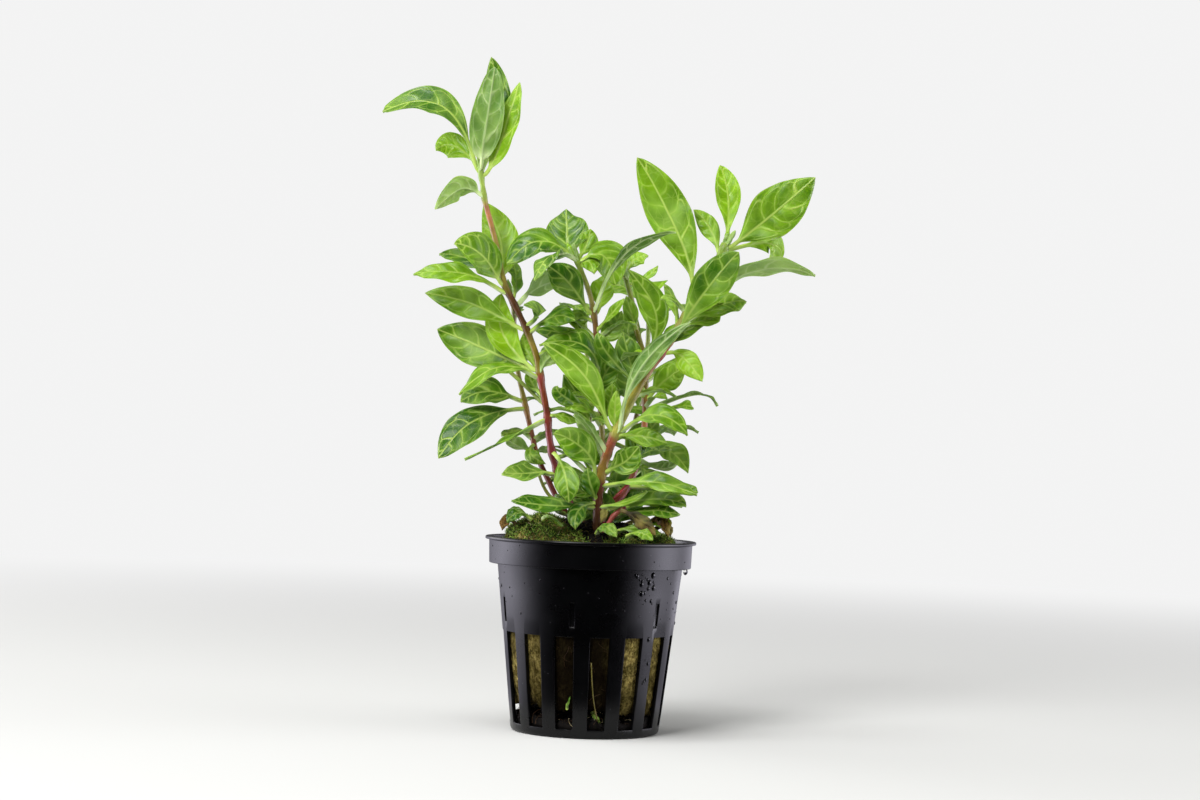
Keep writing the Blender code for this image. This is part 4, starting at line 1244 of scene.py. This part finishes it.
def opening_tree():
    """Cuts blocks that stand round the pot's axis out of its wall, each a wedge or a bar."""
    tree, given = shape_tree("openings round the wall", [
        ("Count", int), ("First angle", float), ("Inner radius", float), ("Outer radius", float),
        ("Inner width", float), ("Outer width", float), ("Low", float), ("High", float), ("Lean", float),
        ("Finish", "material"),
    ])
    # A block around the origin, then each of its corners moved: wider outside, and leaning with the wall.
    deep = put(tree, MATH, (given["Outer radius"], given["Inner radius"]), operation="SUBTRACT")
    tall = put(tree, MATH, (given["High"], given["Low"]), operation="SUBTRACT")
    size = put(tree, JOIN, (deep, 1.0, tall))
    block = put(tree, "GeometryNodeMeshCube", {"Size": size})
    corner = put(tree, "GeometryNodeInputPosition")
    corner = put(tree, "ShaderNodeSeparateXYZ", (corner,)).outputs
    outer = put(tree, MATH, (corner[0], 0.0), operation="GREATER_THAN")
    wide = put(tree, MIX, {0: outer, 2: given["Inner width"], 3: given["Outer width"]})
    y = put(tree, MATH, (corner[1], wide), operation="MULTIPLY")
    upper = put(tree, MATH, (corner[2], 0.0), operation="GREATER_THAN")
    inner = put(tree, MATH, (1.0, outer), operation="SUBTRACT")
    leaning = put(tree, MATH, (upper, inner), operation="MULTIPLY")
    leaning = put(tree, MATH, (leaning, given["Lean"]), operation="MULTIPLY")
    x = put(tree, MATH, (given["Outer radius"], given["Inner radius"]), operation="ADD")
    x = put(tree, MATH, (x, 0.5, corner[0]), operation="MULTIPLY_ADD")
    x = put(tree, MATH, (x, leaning), operation="ADD")
    z = put(tree, MATH, (given["High"], given["Low"]), operation="ADD")
    z = put(tree, MATH, (z, 0.5, corner[2]), operation="MULTIPLY_ADD")
    corner = put(tree, JOIN, (x, y, z))
    placed = put(tree, "GeometryNodeSetPosition", {"Geometry": block, "Position": corner})

    # Copies of it all round, cut out of the wall.
    points = put(tree, "GeometryNodePoints", {"Count": given["Count"]})
    turn = put(tree, MATH, (math.tau, given["Count"]), operation="DIVIDE")
    number = put(tree, "GeometryNodeInputIndex")
    angle = put(tree, MATH, (number, turn, given["First angle"]), operation="MULTIPLY_ADD")
    turned = put(tree, JOIN, (0.0, 0.0, angle))
    copies = put(tree, "GeometryNodeInstanceOnPoints", {
        "Points": points, "Instance": placed, "Rotation": turned,
    })
    cutters = put(tree, "GeometryNodeRealizeInstances", {"Geometry": copies})
    cut = put(tree, "GeometryNodeMeshBoolean", {"Mesh 1": given["Geometry"], "Mesh 2": cutters},
              operation="DIFFERENCE", solver="EXACT")
    close_shape(tree, cut, given)
    return tree


def round_openings(mesh):
    """Takes the sharpness off the edges of the openings in the wall, as a mould does."""
    wall_starts, floor_ends = 17.0, 1.9
    shape = bmesh.new()
    shape.from_mesh(mesh)
    bmesh.ops.remove_doubles(shape, verts=shape.verts, dist=0.002 * MM)
    sharp = []
    for edge in shape.edges:
        ends = [v.co / MM for v in edge.verts]
        in_wall = all(math.hypot(p.x, p.y) > wall_starts and p.z > floor_ends for p in ends)
        if in_wall and len(edge.link_faces) == 2 and edge.calc_face_angle() > SHARP_EDGE:
            sharp.append(edge)
    bmesh.ops.bevel(shape, geom=sharp, offset=EDGE_ROUNDING * MM, segments=2, profile=0.5, affect="EDGES",
                    clamp_overlap=True)
    shape.to_mesh(mesh)
    shape.free()


def make_pot(finish):
    """The moulded pot: a turned wall with its slots, grooves and floor slots cut through."""
    section = pot_section()
    points = []
    for spot in section:
        for i in range(POT_FACETS):
            points.append(polar(spot.x, FIRST_SLOT + i * math.tau / POT_FACETS, spot.y))
    points += [Vector((0, 0, 0)), Vector((0, 0, FLOOR))]
    faces = band_faces(0, len(section), POT_FACETS)
    faces += cap_faces(len(points) - 2, len(points) - 1, 0, (len(section) - 1) * POT_FACETS, POT_FACETS)
    pot = add_piece("pot_blank", points, faces, [finish], None)
    tree = opening_tree()
    spread = 2 * math.tan(SLOT_SPREAD / 2)
    groove_floor = wall_radius(GROOVE_LOW) - GROOVE_DEPTH
    lean = (wall_radius(GROOVE_HIGH) - wall_radius(GROOVE_LOW)) * MM
    rows = (
        (SLOTS, FIRST_SLOT, SLOT_INNER, CUT_OUTER, SLOT_INNER * spread, CUT_OUTER * spread,
         SLOT_LOW, SLOT_HIGH, 0.0),
        (GROOVES, FIRST_GROOVE, groove_floor, CUT_OUTER, GROOVE_WIDTH, GROOVE_WIDTH,
         GROOVE_LOW, GROOVE_HIGH, lean),
        (FLOOR_SLOTS, FIRST_SLOT, FLOOR_SLOT_INNER, FLOOR_SLOT_OUTER, FLOOR_SLOT_WIDTH, FLOOR_SLOT_WIDTH,
         -CUT_PAST, FLOOR + CUT_PAST, 0.0),
    )
    for count, first, inner, outer, inner_width, outer_width, low, high, leaning in rows:
        pot = run_tree("moulded_pot", pot, tree, {
            "Count": count, "First angle": first, "Inner radius": inner * MM, "Outer radius": outer * MM,
            "Inner width": inner_width * MM, "Outer width": outer_width * MM, "Low": low * MM,
            "High": high * MM, "Lean": leaning, "Finish": finish,
        })
    round_openings(pot.data)
    pot.data.polygons.foreach_set("use_smooth", [True] * len(pot.data.polygons))
    pot.data.set_sharp_from_angle(angle=math.radians(50))
    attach(pot, "root")
    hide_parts("net_pot")


def mound_height(x, y):
    """How high the plug's top stands at a place."""
    height = PLUG_TOP
    for centre_x, centre_y, rise, spread in MOUNDS:
        away = (x - centre_x) ** 2 + (y - centre_y) ** 2
        height += rise * math.exp(-away / (2 * spread**2))
    return height


def plug_side():
    """The plug's side, which swells between the ribs and has a ragged foot, and its stains and painted shade.
    """
    points, stains_and_shade = [], []
    for r in range(PLUG_SIDE_ROWS):
        share = r / (PLUG_SIDE_ROWS - 1)
        for i in range(PLUG_AROUND):
            angle = FIRST_SLOT + i * math.tau / PLUG_AROUND
            way = Vector((math.cos(angle), math.sin(angle), 0))
            off_slot = abs((i * SLOTS / PLUG_AROUND + 0.5) % 1.0 - 0.5) * 24
            ragged = 1.3 * noise.noise(way * 6) + 1.1 * noise.noise(way * 17) + 0.5 * noise.noise(way * 40)
            foot = PLUG_FOOT - 0.6 - 2.4 * max(0.0, way.x) + ragged
            z = foot + (PLUG_SHOULDER - foot) * share
            spot = way * 10 + Vector((0, 0, z))
            swell = 0.5 * noise.noise(spot * 0.35) + 0.3 * noise.noise(spot * 0.75)
            tuck = 1.0 * math.exp(-share * 16)
            bulge = max(0.0, math.cos(math.pi / 2 * min(1.0, off_slot / 6.4)))
            bulge *= 0.5 * max(0.0, min(1.0, (SLOT_HIGH - z) / 1.5))
            radius = wall_radius(z) - WALL - 0.1 + min(0.0, 0.5 * swell - 0.1) + bulge - tuck
            points.append(way * radius + Vector((0, 0, z)))
            # Painted shade: the plug's front, which the side lights don't reach, is made nearly black. Real
            # blotches of stain lie round it, and its damp foot is darker too.
            turned = (math.degrees(angle) + 90 + 180) % 360 - 180 + 5.5
            painted_front_shade = DARKEST_STAIN_AND_SHADE / (1 + (turned / 27) ** 8)
            blotch = noise.noise(spot * 0.22 + Vector((7, 0, 0)))
            damp = 0.7 * math.exp(-share * 11)
            stains_and_shade.append(min(DARKEST_STAIN_AND_SHADE, max(0.0, painted_front_shade + 0.5 * blotch * (1 - painted_front_shade) + damp)))
    return points, stains_and_shade


def plug_top():
    """The plug's lumpy, mounded top, from the shoulder in, and how stained it is."""
    points, stains_and_shade = [], []
    rim = PLUG_SHOULDER + 0.5
    for r in range(PLUG_TOP_ROWS):
        share = 1 - (r + 1) / (PLUG_TOP_ROWS + 1)
        for i in range(PLUG_AROUND):
            angle = i * math.tau / PLUG_AROUND
            radius = (wall_radius(PLUG_SHOULDER) - WALL - 0.4) * share
            x, y = radius * math.cos(angle), radius * math.sin(angle)
            shoulder = min(1.0, (1 - share) * 13)
            bulge = 1 + 0.05 * min(1.0, (1 - share) * 10)
            x, y = x * bulge, y * bulge
            spot = Vector((x, y, 0))
            lumps = 1.1 * noise.noise(spot * 0.28) + 0.7 * noise.noise(spot * 0.7)
            lumps += 0.3 * noise.noise(spot * 1.6)
            z = rim + (mound_height(x, y) - rim + lumps - 0.4) * shoulder
            points.append(Vector((x, y, z)))
            stains_and_shade.append(min(1.0, max(0.0, 0.55 + 0.9 * noise.noise(spot * 0.3 + Vector((3, 9, 0))))))
    return points, stains_and_shade


def wool_shape():
    """The plug's points, faces, stains and painted shade, and how many points its side has."""
    points, stains_and_shade = plug_side()
    side_points = len(points)
    top_points, top_stains = plug_top()
    points += top_points
    stains_and_shade += top_stains
    rows = PLUG_SIDE_ROWS + PLUG_TOP_ROWS
    points += [Vector((0, 0, PLUG_FOOT + 1.5)), Vector((0, 0, mound_height(0, 0) - 0.4))]
    stains_and_shade += [1.0, 0.5]
    faces = band_faces(0, rows, PLUG_AROUND)
    faces += cap_faces(len(points) - 2, len(points) - 1, 0, (rows - 1) * PLUG_AROUND, PLUG_AROUND)
    return points, faces, stains_and_shade, side_points


def root_mat_shape():
    """Wet roots and peat on the pot's floor under the wool, high in the middle, uneven at the wall."""
    around = MAT_AROUND
    base = FLOOR + 0.05
    points = [Vector((0, 0, base))]
    foot = wall_radius(FLOOR) - WALL - 0.5
    for radius in (foot * 0.5, foot):
        points += [polar(radius, i * math.tau / around, base) for i in range(around)]
    for r in range(MAT_ROWS):
        share = 1 - r / MAT_ROWS
        for i in range(around):
            radius = (foot + 0.3) * share
            spot = polar(radius, i * math.tau / around, 0)
            heap = 6.6 / (1 + (radius / 12.5) ** 8)
            lumps = 2.0 * noise.noise(spot * 0.3 + Vector((5, 2, 0))) + 0.9 * noise.noise(spot * 0.9)
            z = FLOOR + 0.4 + max(0.1, 1.8 + heap + lumps)
            points.append(spot + Vector((0, 0, z)))
    points.append(Vector((0, 0, FLOOR + 9.0)))
    last = 1 + (MAT_ROWS + 1) * around
    faces = [(0, 1 + (i + 1) % around, 1 + i) for i in range(around)]
    faces += band_faces(1, MAT_ROWS + 2, around)
    faces += [(len(points) - 1, last + i, last + (i + 1) % around) for i in range(around)]
    return points, faces


def litter_shape(tree, shape, length, thickness, bend):
    """One fibre, blade, crumb or drop, around the origin and with only a few dozen faces."""
    if shape == "fibre":
        half = put(tree, MATH, (length, 0.5), operation="MULTIPLY")
        back = put(tree, MATH, (half, -1.0), operation="MULTIPLY")
        path = put(tree, "GeometryNodeCurveQuadraticBezier", {
            "Resolution": 4, "Start": put(tree, JOIN, (back, 0.0, 0.0)),
            "Middle": put(tree, JOIN, (0.0, bend, bend)), "End": put(tree, JOIN, (half, 0.0, 0.0)),
        })
        ring = put(tree, "GeometryNodeCurvePrimitiveCircle", {"Resolution": 3, "Radius": thickness})
        return put(tree, "GeometryNodeCurveToMesh", {"Curve": path, "Profile Curve": ring, "Fill Caps": True})
    if shape == "blade":
        return put(tree, "GeometryNodeMeshCone", {
            "Vertices": 3, "Radius Top": 0.0, "Radius Bottom": thickness, "Depth": length,
        })
    if shape == "crumb":
        ball = put(tree, "GeometryNodeMeshIcoSphere", {"Radius": thickness, "Subdivisions": 2})
        wobble = put(tree, NOISE, {"Scale": 900.0, "Detail": 1.0})
        push = put(tree, RANGE, {0: wobble, 1: 0.2, 2: 0.8, 3: -0.9, 4: 0.9})
        push = put(tree, MATH, (push, thickness), operation="MULTIPLY")
        outward = put(tree, "GeometryNodeInputNormal")
        outward = put(tree, VECTOR, {0: outward, "Scale": push}, operation="SCALE")
        return put(tree, "GeometryNodeSetPosition", {"Geometry": ball, "Offset": outward})
    ball = put(tree, "GeometryNodeMeshUVSphere", {"Segments": 12, "Rings": 7, "Radius": thickness})
    return put(tree, "GeometryNodeTransform", {"Geometry": ball, "Scale": (1.0, 1.25, 0.62)})


def scatter_tree(name, shape):
    """Strews small shapes over a surface: fibres and blades that lie or stand, crumbs, or drops."""
    tree, given = shape_tree(name, [
        ("Density", float), ("Length", float), ("Thickness", float), ("Lie", float), ("Bend", float),
        ("Patch size", float), ("Bare", float), ("Seed", int), ("Finish", "material"),
    ])
    finer = put(tree, MATH, (1.0, given["Patch size"]), operation="DIVIDE")
    shift = put(tree, MATH, (given["Seed"], 3.7), operation="MULTIPLY")
    cover = put(tree, NOISE, {"W": shift, "Scale": finer, "Detail": 2.0}, noise_dimensions="4D")
    more = put(tree, MATH, (given["Bare"], 0.08), operation="ADD")
    cover = put(tree, RANGE, {0: cover, 1: given["Bare"], 2: more, 3: 0.0, 4: given["Density"]})
    spread = put(tree, "GeometryNodeDistributePointsOnFaces", {
        "Mesh": given["Geometry"], "Density": cover, "Seed": given["Seed"],
    }).outputs
    single = litter_shape(tree, shape, given["Length"], given["Thickness"], given["Bend"])

    # From 0.3 to 1 times the full size; most drops are small.
    power = 1.7 if shape == "drop" else 1.0
    size = put(tree, "FunctionNodeRandomValue", {2: 0.0, 3: 1.0, "Seed": given["Seed"]}, data_type="FLOAT")
    size = put(tree, MATH, (size.outputs[1], power), operation="POWER")
    size = put(tree, MATH, (size, 0.7, 0.3), operation="MULTIPLY_ADD")
    turns = []
    for seed in (11, 12):
        tip = put(tree, "FunctionNodeRandomValue", {2: -0.5, 3: 0.5, "Seed": seed}, data_type="FLOAT")
        turns.append(put(tree, MATH, (tip.outputs[1], given["Lie"]), operation="MULTIPLY"))
    if shape == "drop":
        turns.append(0.0)
    else:
        spin = put(tree, "FunctionNodeRandomValue", {2: 0.0, 3: math.tau, "Seed": 7}, data_type="FLOAT")
        turns.append(spin.outputs[1])
    own_turn = put(tree, JOIN, turns)
    turned = put(tree, "FunctionNodeRotateRotation", (spread["Rotation"], own_turn), rotation_space="LOCAL")
    copies = put(tree, "GeometryNodeInstanceOnPoints", {
        "Points": spread["Points"], "Instance": single, "Rotation": turned, "Scale": size,
    })
    close_shape(tree, copies, given)
    return tree


def strew(name, points, faces, tree, slot, finish, density, length, thickness, lie, bend, seed, patch=5.0,
          bare=0.0):
    """Runs a strewing tree over a patch of surface."""
    ground = add_piece(name + "_patch", points, faces, [finish], None)
    piece = run_tree(name, ground, tree, {
        "Density": density, "Length": length * MM, "Thickness": thickness * MM, "Lie": lie, "Bend": bend * MM,
        "Patch size": patch * MM, "Bare": bare, "Seed": seed, "Finish": finish,
    })
    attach(piece, "root")


def strew_litter(grounds, trees, finishes):
    """Strews what lies on these grounds."""
    for name, ground, shape, finish, *measures in LITTER:
        if ground in grounds:
            slot = "leaf" if shape == "blade" else "mineral_wool"
            strew(name, *grounds[ground], trees[shape], slot, finishes[finish], *measures)


def make_wool(finishes):
    """The plug with its loose fibres, the moss and dark crumbs on its top, and the root mat under it."""
    trees = {
        "fibre": scatter_tree("fibres over wool", "fibre"),
        "blade": scatter_tree("moss over wool", "blade"),
        "crumb": scatter_tree("crumbs between stems", "crumb"),
    }
    points, faces, stains_and_shade, top_start = wool_shape()
    plug = add_piece("felted_plug", points, faces, [finishes["wool"]], "mineral_wool")
    add_field(plug, "stain_and_shade", stains_and_shade)
    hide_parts("wool_plug")
    parts = {"bright side": [], "rooted side": [], "top": [], "between stems": []}
    for f in faces:
        spot = points[f[0]]
        if max(f) < top_start:
            # The darkened side is where painted shade or stain is deep; the brown roots are strewn there.
            parts["rooted side" if stains_and_shade[f[0]] > 0.6 else "bright side"].append(f)
        elif min(f) >= top_start and len(f) == 4:
            edge = 8.5 + 3.5 * noise.noise(spot * 0.25 + Vector((1, 4, 0)))
            from_stems = math.hypot(spot.x - 2.5, 0.8 * (spot.y + 2))
            parts["between stems" if from_stems < edge else "top"].append(f)
    strew_litter({part: (points, chosen) for part, chosen in parts.items()}, trees, finishes)
    points, faces = root_mat_shape()
    # The root mat's near-black peat also paints the shade under the plug.
    add_piece("root_mat", points, faces, [finishes["peat"]], "mineral_wool")
    upper_faces = [f for f in faces if min(points[i].z for i in f) > FLOOR + 0.3]
    strew_litter({"root mat": (points, upper_faces)}, trees, finishes)


def make_scraps(leaf_finishes, dead_finishes, stem_skin):
    """Fallen leaves on the plug, scraps in the slots, and the cut ends of stalks between the stems."""
    for name, rows, finishes in (("dead_scraps", DEAD_SCRAPS, dead_finishes),
                                 ("green_scraps", GREEN_SCRAPS, leaf_finishes)):
        heap = LeafHeap()
        for n, (start, middle, tip, width, words, tone, crumple) in enumerate(rows):
            rib = rib_through(Vector(start), Vector(middle), Vector(tip), SCRAP_STEPS)
            heap.add_leaf(rib, [looking(words)] * (SCRAP_STEPS + 1), width, name + str(n), tone,
                          SCRAP_CONTRAST, SCRAP_STEPS, SCRAP_LANES, crumple=crumple)
        heap.piece(name, finishes)
    points, faces, colours, all_marks, run = [], [], [], [], []
    for *knots, radius, colour in STUBS:
        line, _ = smooth_line([Vector(k) for k in knots], 0.8)
        radii = [radius * (1 + 0.12 * noise.noise(p)) for p in line]
        marks = tube(line, radii, 12, points, faces, 0.03)
        all_marks += marks
        colours += [linear(colour)] * len(marks)
        run += [0.8 * i + 2 * math.sin(angle) for angle, i in marks]
    piece = add_piece("cut_stubs", points, faces, [stem_skin], "stem")
    add_stem_fields(piece, colours, all_marks, run)


def make_drops(water, wet):
    """Drops of water standing on the pot's wall and collar, and one hanging from the collar's edge."""
    tree = scatter_tree("drops on the wall", "drop")
    for n, (name, first, last, low, high, density, radius) in enumerate(WET_PATCHES):
        steps = max(2, round((last - first) / 6))
        points = []
        for i in range(steps + 1):
            angle = math.radians(first + (last - first) * i / steps)
            points += [polar(wall_radius(low), angle, low), polar(wall_radius(high), angle, high)]
        faces = [(2 * i, 2 * i + 2, 2 * i + 3, 2 * i + 1) for i in range(steps)]
        strew(name, points, faces, tree, "black_plastic", wet, density, 1.0, radius, 0.0, 0.0, 20 + n)
    name, low, high, density, radius = COLLAR_DROPS
    steps = 60
    points = []
    for i in range(steps):
        angle = i * math.tau / steps
        points += [polar(COLLAR_RADIUS, angle, low), polar(COLLAR_RADIUS + COLLAR_FLARE, angle, high)]
    faces = [(2 * i, (2 * i + 2) % (2 * steps), (2 * i + 3) % (2 * steps), 2 * i + 1) for i in range(steps)]
    strew(name, points, faces, tree, "black_plastic", wet, density, 1.0, radius, 0.0, 0.0, 30)
    points, faces = [], []
    depths = (-0.1, 0.25, 0.6, 0.95, 1.25)
    line = [polar(COLLAR_RADIUS - 0.3, HANGING_DROP, COLLAR_FOOT - depth) for depth in depths]
    tube(line, [0.5, 0.62, 0.66, 0.55, 0.28], 14, points, faces)
    add_piece("hanging_drop", points, faces, [water], "black_plastic")


def reflection_card(name, spots, faces, glow=()):
    """A card that only reflections see, black unless its points are given a glow."""
    mesh = bpy.data.meshes.new(name)
    mesh.from_pydata(spots, [], faces)
    card = bpy.data.objects.new(name, mesh)
    paper, tree = new_material(name + ", matt paper")
    values = {
        "Base Color": linear("#050505"), "Roughness": 1.0, "Specular IOR Level": 0.0,
        "Emission Color": linear("#f1eeff"),
    }
    if glow:
        add_field(card, "glow", glow)
        values["Emission Strength"] = put(tree, FIELD, attribute_name="glow").outputs["Fac"]
    close_material(tree, values)
    mesh.materials.append(paper)
    bpy.context.scene.collection.objects.link(card)
    card.visible_camera = False
    card.visible_diffuse = False
    card.visible_shadow = False
    card.visible_transmission = False


def make_floor():
    """A pale floor that fades into the backdrop's brightness."""
    bpy.ops.mesh.primitive_circle_add(vertices=96, radius=FLOOR_RADIUS, fill_type="NGON")
    floor = bpy.context.object
    floor.name = "floor"
    paint, tree = new_material("pale studio floor, matt paint")
    place = put(tree, PLACE).outputs["Object"]
    away = put(tree, VECTOR, (place,), operation="LENGTH").outputs["Value"]
    fade = put(tree, RANGE, {0: away, 1: FLOOR_FADE[0], 2: FLOOR_FADE[1], 3: 0.0, 4: 1.0},
               interpolation_type="SMOOTHSTEP")
    colour = put(tree, MIX, {0: fade, 6: linear("#d4d4d2"), 7: linear("#000000")}, data_type="RGBA")
    close_material(tree, {
        "Base Color": colour.outputs[2],
        "Emission Strength": put(tree, MATH, (fade, BACKDROP_LIGHT), operation="MULTIPLY"),
        "Emission Color": linear("#ffffff"),
        "Roughness": 1.0,
        "Specular IOR Level": 0.0,
    })
    floor.data.materials.append(paint)


def make_backdrop():
    """A pale dome, which only the camera sees, and a pale world behind it for the light."""
    bpy.ops.mesh.primitive_uv_sphere_add(segments=48, ring_count=24, radius=BACKDROP_RADIUS)
    dome = bpy.context.object
    dome.name = "backdrop"
    cloth, tree = new_material("pale backdrop, lit evenly")
    close_material(tree, {
        "Base Color": linear("#000000"), "Specular IOR Level": 0.0, "Emission Color": linear("#ffffff"),
        "Emission Strength": BACKDROP_LIGHT,
    })
    dome.data.materials.append(cloth)
    dome.visible_diffuse = False
    dome.visible_glossy = False
    dome.visible_transmission = False
    dome.visible_shadow = False
    world = bpy.data.worlds.new("pale studio")
    world.use_nodes = True
    world.node_tree.nodes["Background"].inputs["Color"].default_value = linear("#ffffff")
    world.node_tree.nodes["Background"].inputs["Strength"].default_value = WORLD_LIGHT
    bpy.context.scene.world = world


def make_cards():
    """The pale cards that the pot's sides mirror, and the dark one in front."""
    spots, glow = [], []
    columns = range(-180, 181, CARD_STEP)
    for turn in columns:
        for (low, near_low, far_low), (high, near_high, far_high) in zip(CARD_GLOW, CARD_GLOW[1:]):
            if low <= turn <= high:
                share = (turn - low) / (high - low)
                near = near_low + (near_high - near_low) * share
                far = far_low + (far_high - far_low) * share
        for radius, height, which in CARD_RINGS:
            spots.append(polar(radius, math.radians(turn - 90), height))
            glow.append(near if which == "near" else far)
    rings = len(CARD_RINGS)
    faces = []
    for i in range(len(columns) - 1):
        for r in range(rings - 1):
            a, b = rings * i + r, rings * (i + 1) + r
            faces.append((a, a + 1, b + 1, b))
    reflection_card("side_cards", spots, faces, glow)
    radius, first, last, low, high = DARK_CARD
    turns = range(first, last + 1, 12)
    spots = [polar(radius, math.radians(turn - 90), z) for turn in turns for z in (low, high)]
    faces = [(2 * i, 2 * i + 2, 2 * i + 3, 2 * i + 1) for i in range(len(spots) // 2 - 1)]
    reflection_card("black_flag", spots, faces)


def make_lights():
    """Soft light from both sides, from above and from the front left."""
    for name, place, aim, width, height, power in SOFTBOXES:
        light = bpy.data.lights.new(name, "AREA")
        light.shape = "RECTANGLE"
        light.size = width
        light.size_y = height
        light.energy = power
        lamp = bpy.data.objects.new(name, light)
        lamp.location = place
        lamp.rotation_euler = (Vector(aim) - Vector(place)).to_track_quat("-Z", "Y").to_euler()
        lamp.visible_camera = False
        bpy.context.scene.collection.objects.link(lamp)


def make_camera():
    """The camera, a little rolled, as the photograph was taken."""
    lens = bpy.data.cameras.new("camera")
    lens.lens = LENS
    lens.sensor_width = SENSOR
    camera = bpy.data.objects.new("camera", lens)
    turn = (CAMERA_AIM - CAMERA_PLACE).to_track_quat("-Z", "Y")
    turn = turn @ Quaternion((0, 0, 1), math.radians(CAMERA_ROLL))
    camera.matrix_world = Matrix.Translation(CAMERA_PLACE) @ turn.to_matrix().to_4x4()
    bpy.context.scene.collection.objects.link(camera)
    bpy.context.scene.camera = camera
    bpy.context.scene.view_settings.view_transform = "Standard"


def main():
    """Makes the plant, its wool, its pot and the studio."""
    upper = leaf_finish("waxy leaf upper side, grown", dark="#2c5c00", light="#8ab80c", vein="#bad266",
                        vein_strength=0.62, quilt=0.8, gloss=0.35, mottling=0.18)
    under = leaf_finish("matt leaf underside, grown", dark="#3f6c16", light="#90b254", vein="#cfe0a4",
                        vein_strength=0.5, quilt=-0.5, gloss=0.5, mottling=0.2)
    dead = leaf_finish("rotting leaf, brown and dry", dark="#161005", light="#7c5c22", vein="#74643a",
                       vein_strength=0.4, quilt=0.8, gloss=0.7, mottling=0.7)
    stem_skin = stem_finish()
    leaf_nodes = {name: [] for name in STEM_SKINS}
    for node in sorted(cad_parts):
        if node.startswith("leaf_"):
            base, *_, stem = read_leaf(node)
            leaf_nodes[stem].append(base.z)
    for name in STEM_SKINS:
        STEM_LINES[name] = make_stem(name, leaf_nodes[name], stem_skin)
    make_leaves([upper, under])
    make_pot(plastic_finish())
    make_wool({
        "dark moss": plant_litter_finish("dark living moss, grown", "#22380c", "#54741f", 500.0, 0.8),
        "bright moss": plant_litter_finish("bright living moss, grown", "#5a8226", "#b2cc5c", 600.0, 0.7),
        "olive moss": plant_litter_finish("olive dying moss, grown", "#4c4a16", "#a09a44", 500.0, 0.8),
        # Near black: damp peat, and painted shade where it lies between the stems and under the plug.
        "peat": plant_litter_finish("damp peat crumbs, near black as painted shade", "#020101", "#0f0905", 700.0, 0.85),
        "pale root": plant_litter_finish("pale living root, grown", "#8a7448", "#d8cca4", 400.0, 0.6),
        "brown root": plant_litter_finish("brown root, grown", "#180d06", "#46301a", 400.0, 0.7),
        "wool": wool_finish(),
    })
    make_scraps([upper, under], [dead, dead], stem_skin)
    make_drops(water_finish(), wet_drop_finish())
    make_floor()
    make_backdrop()
    make_cards()
    make_lights()
    make_camera()


main()
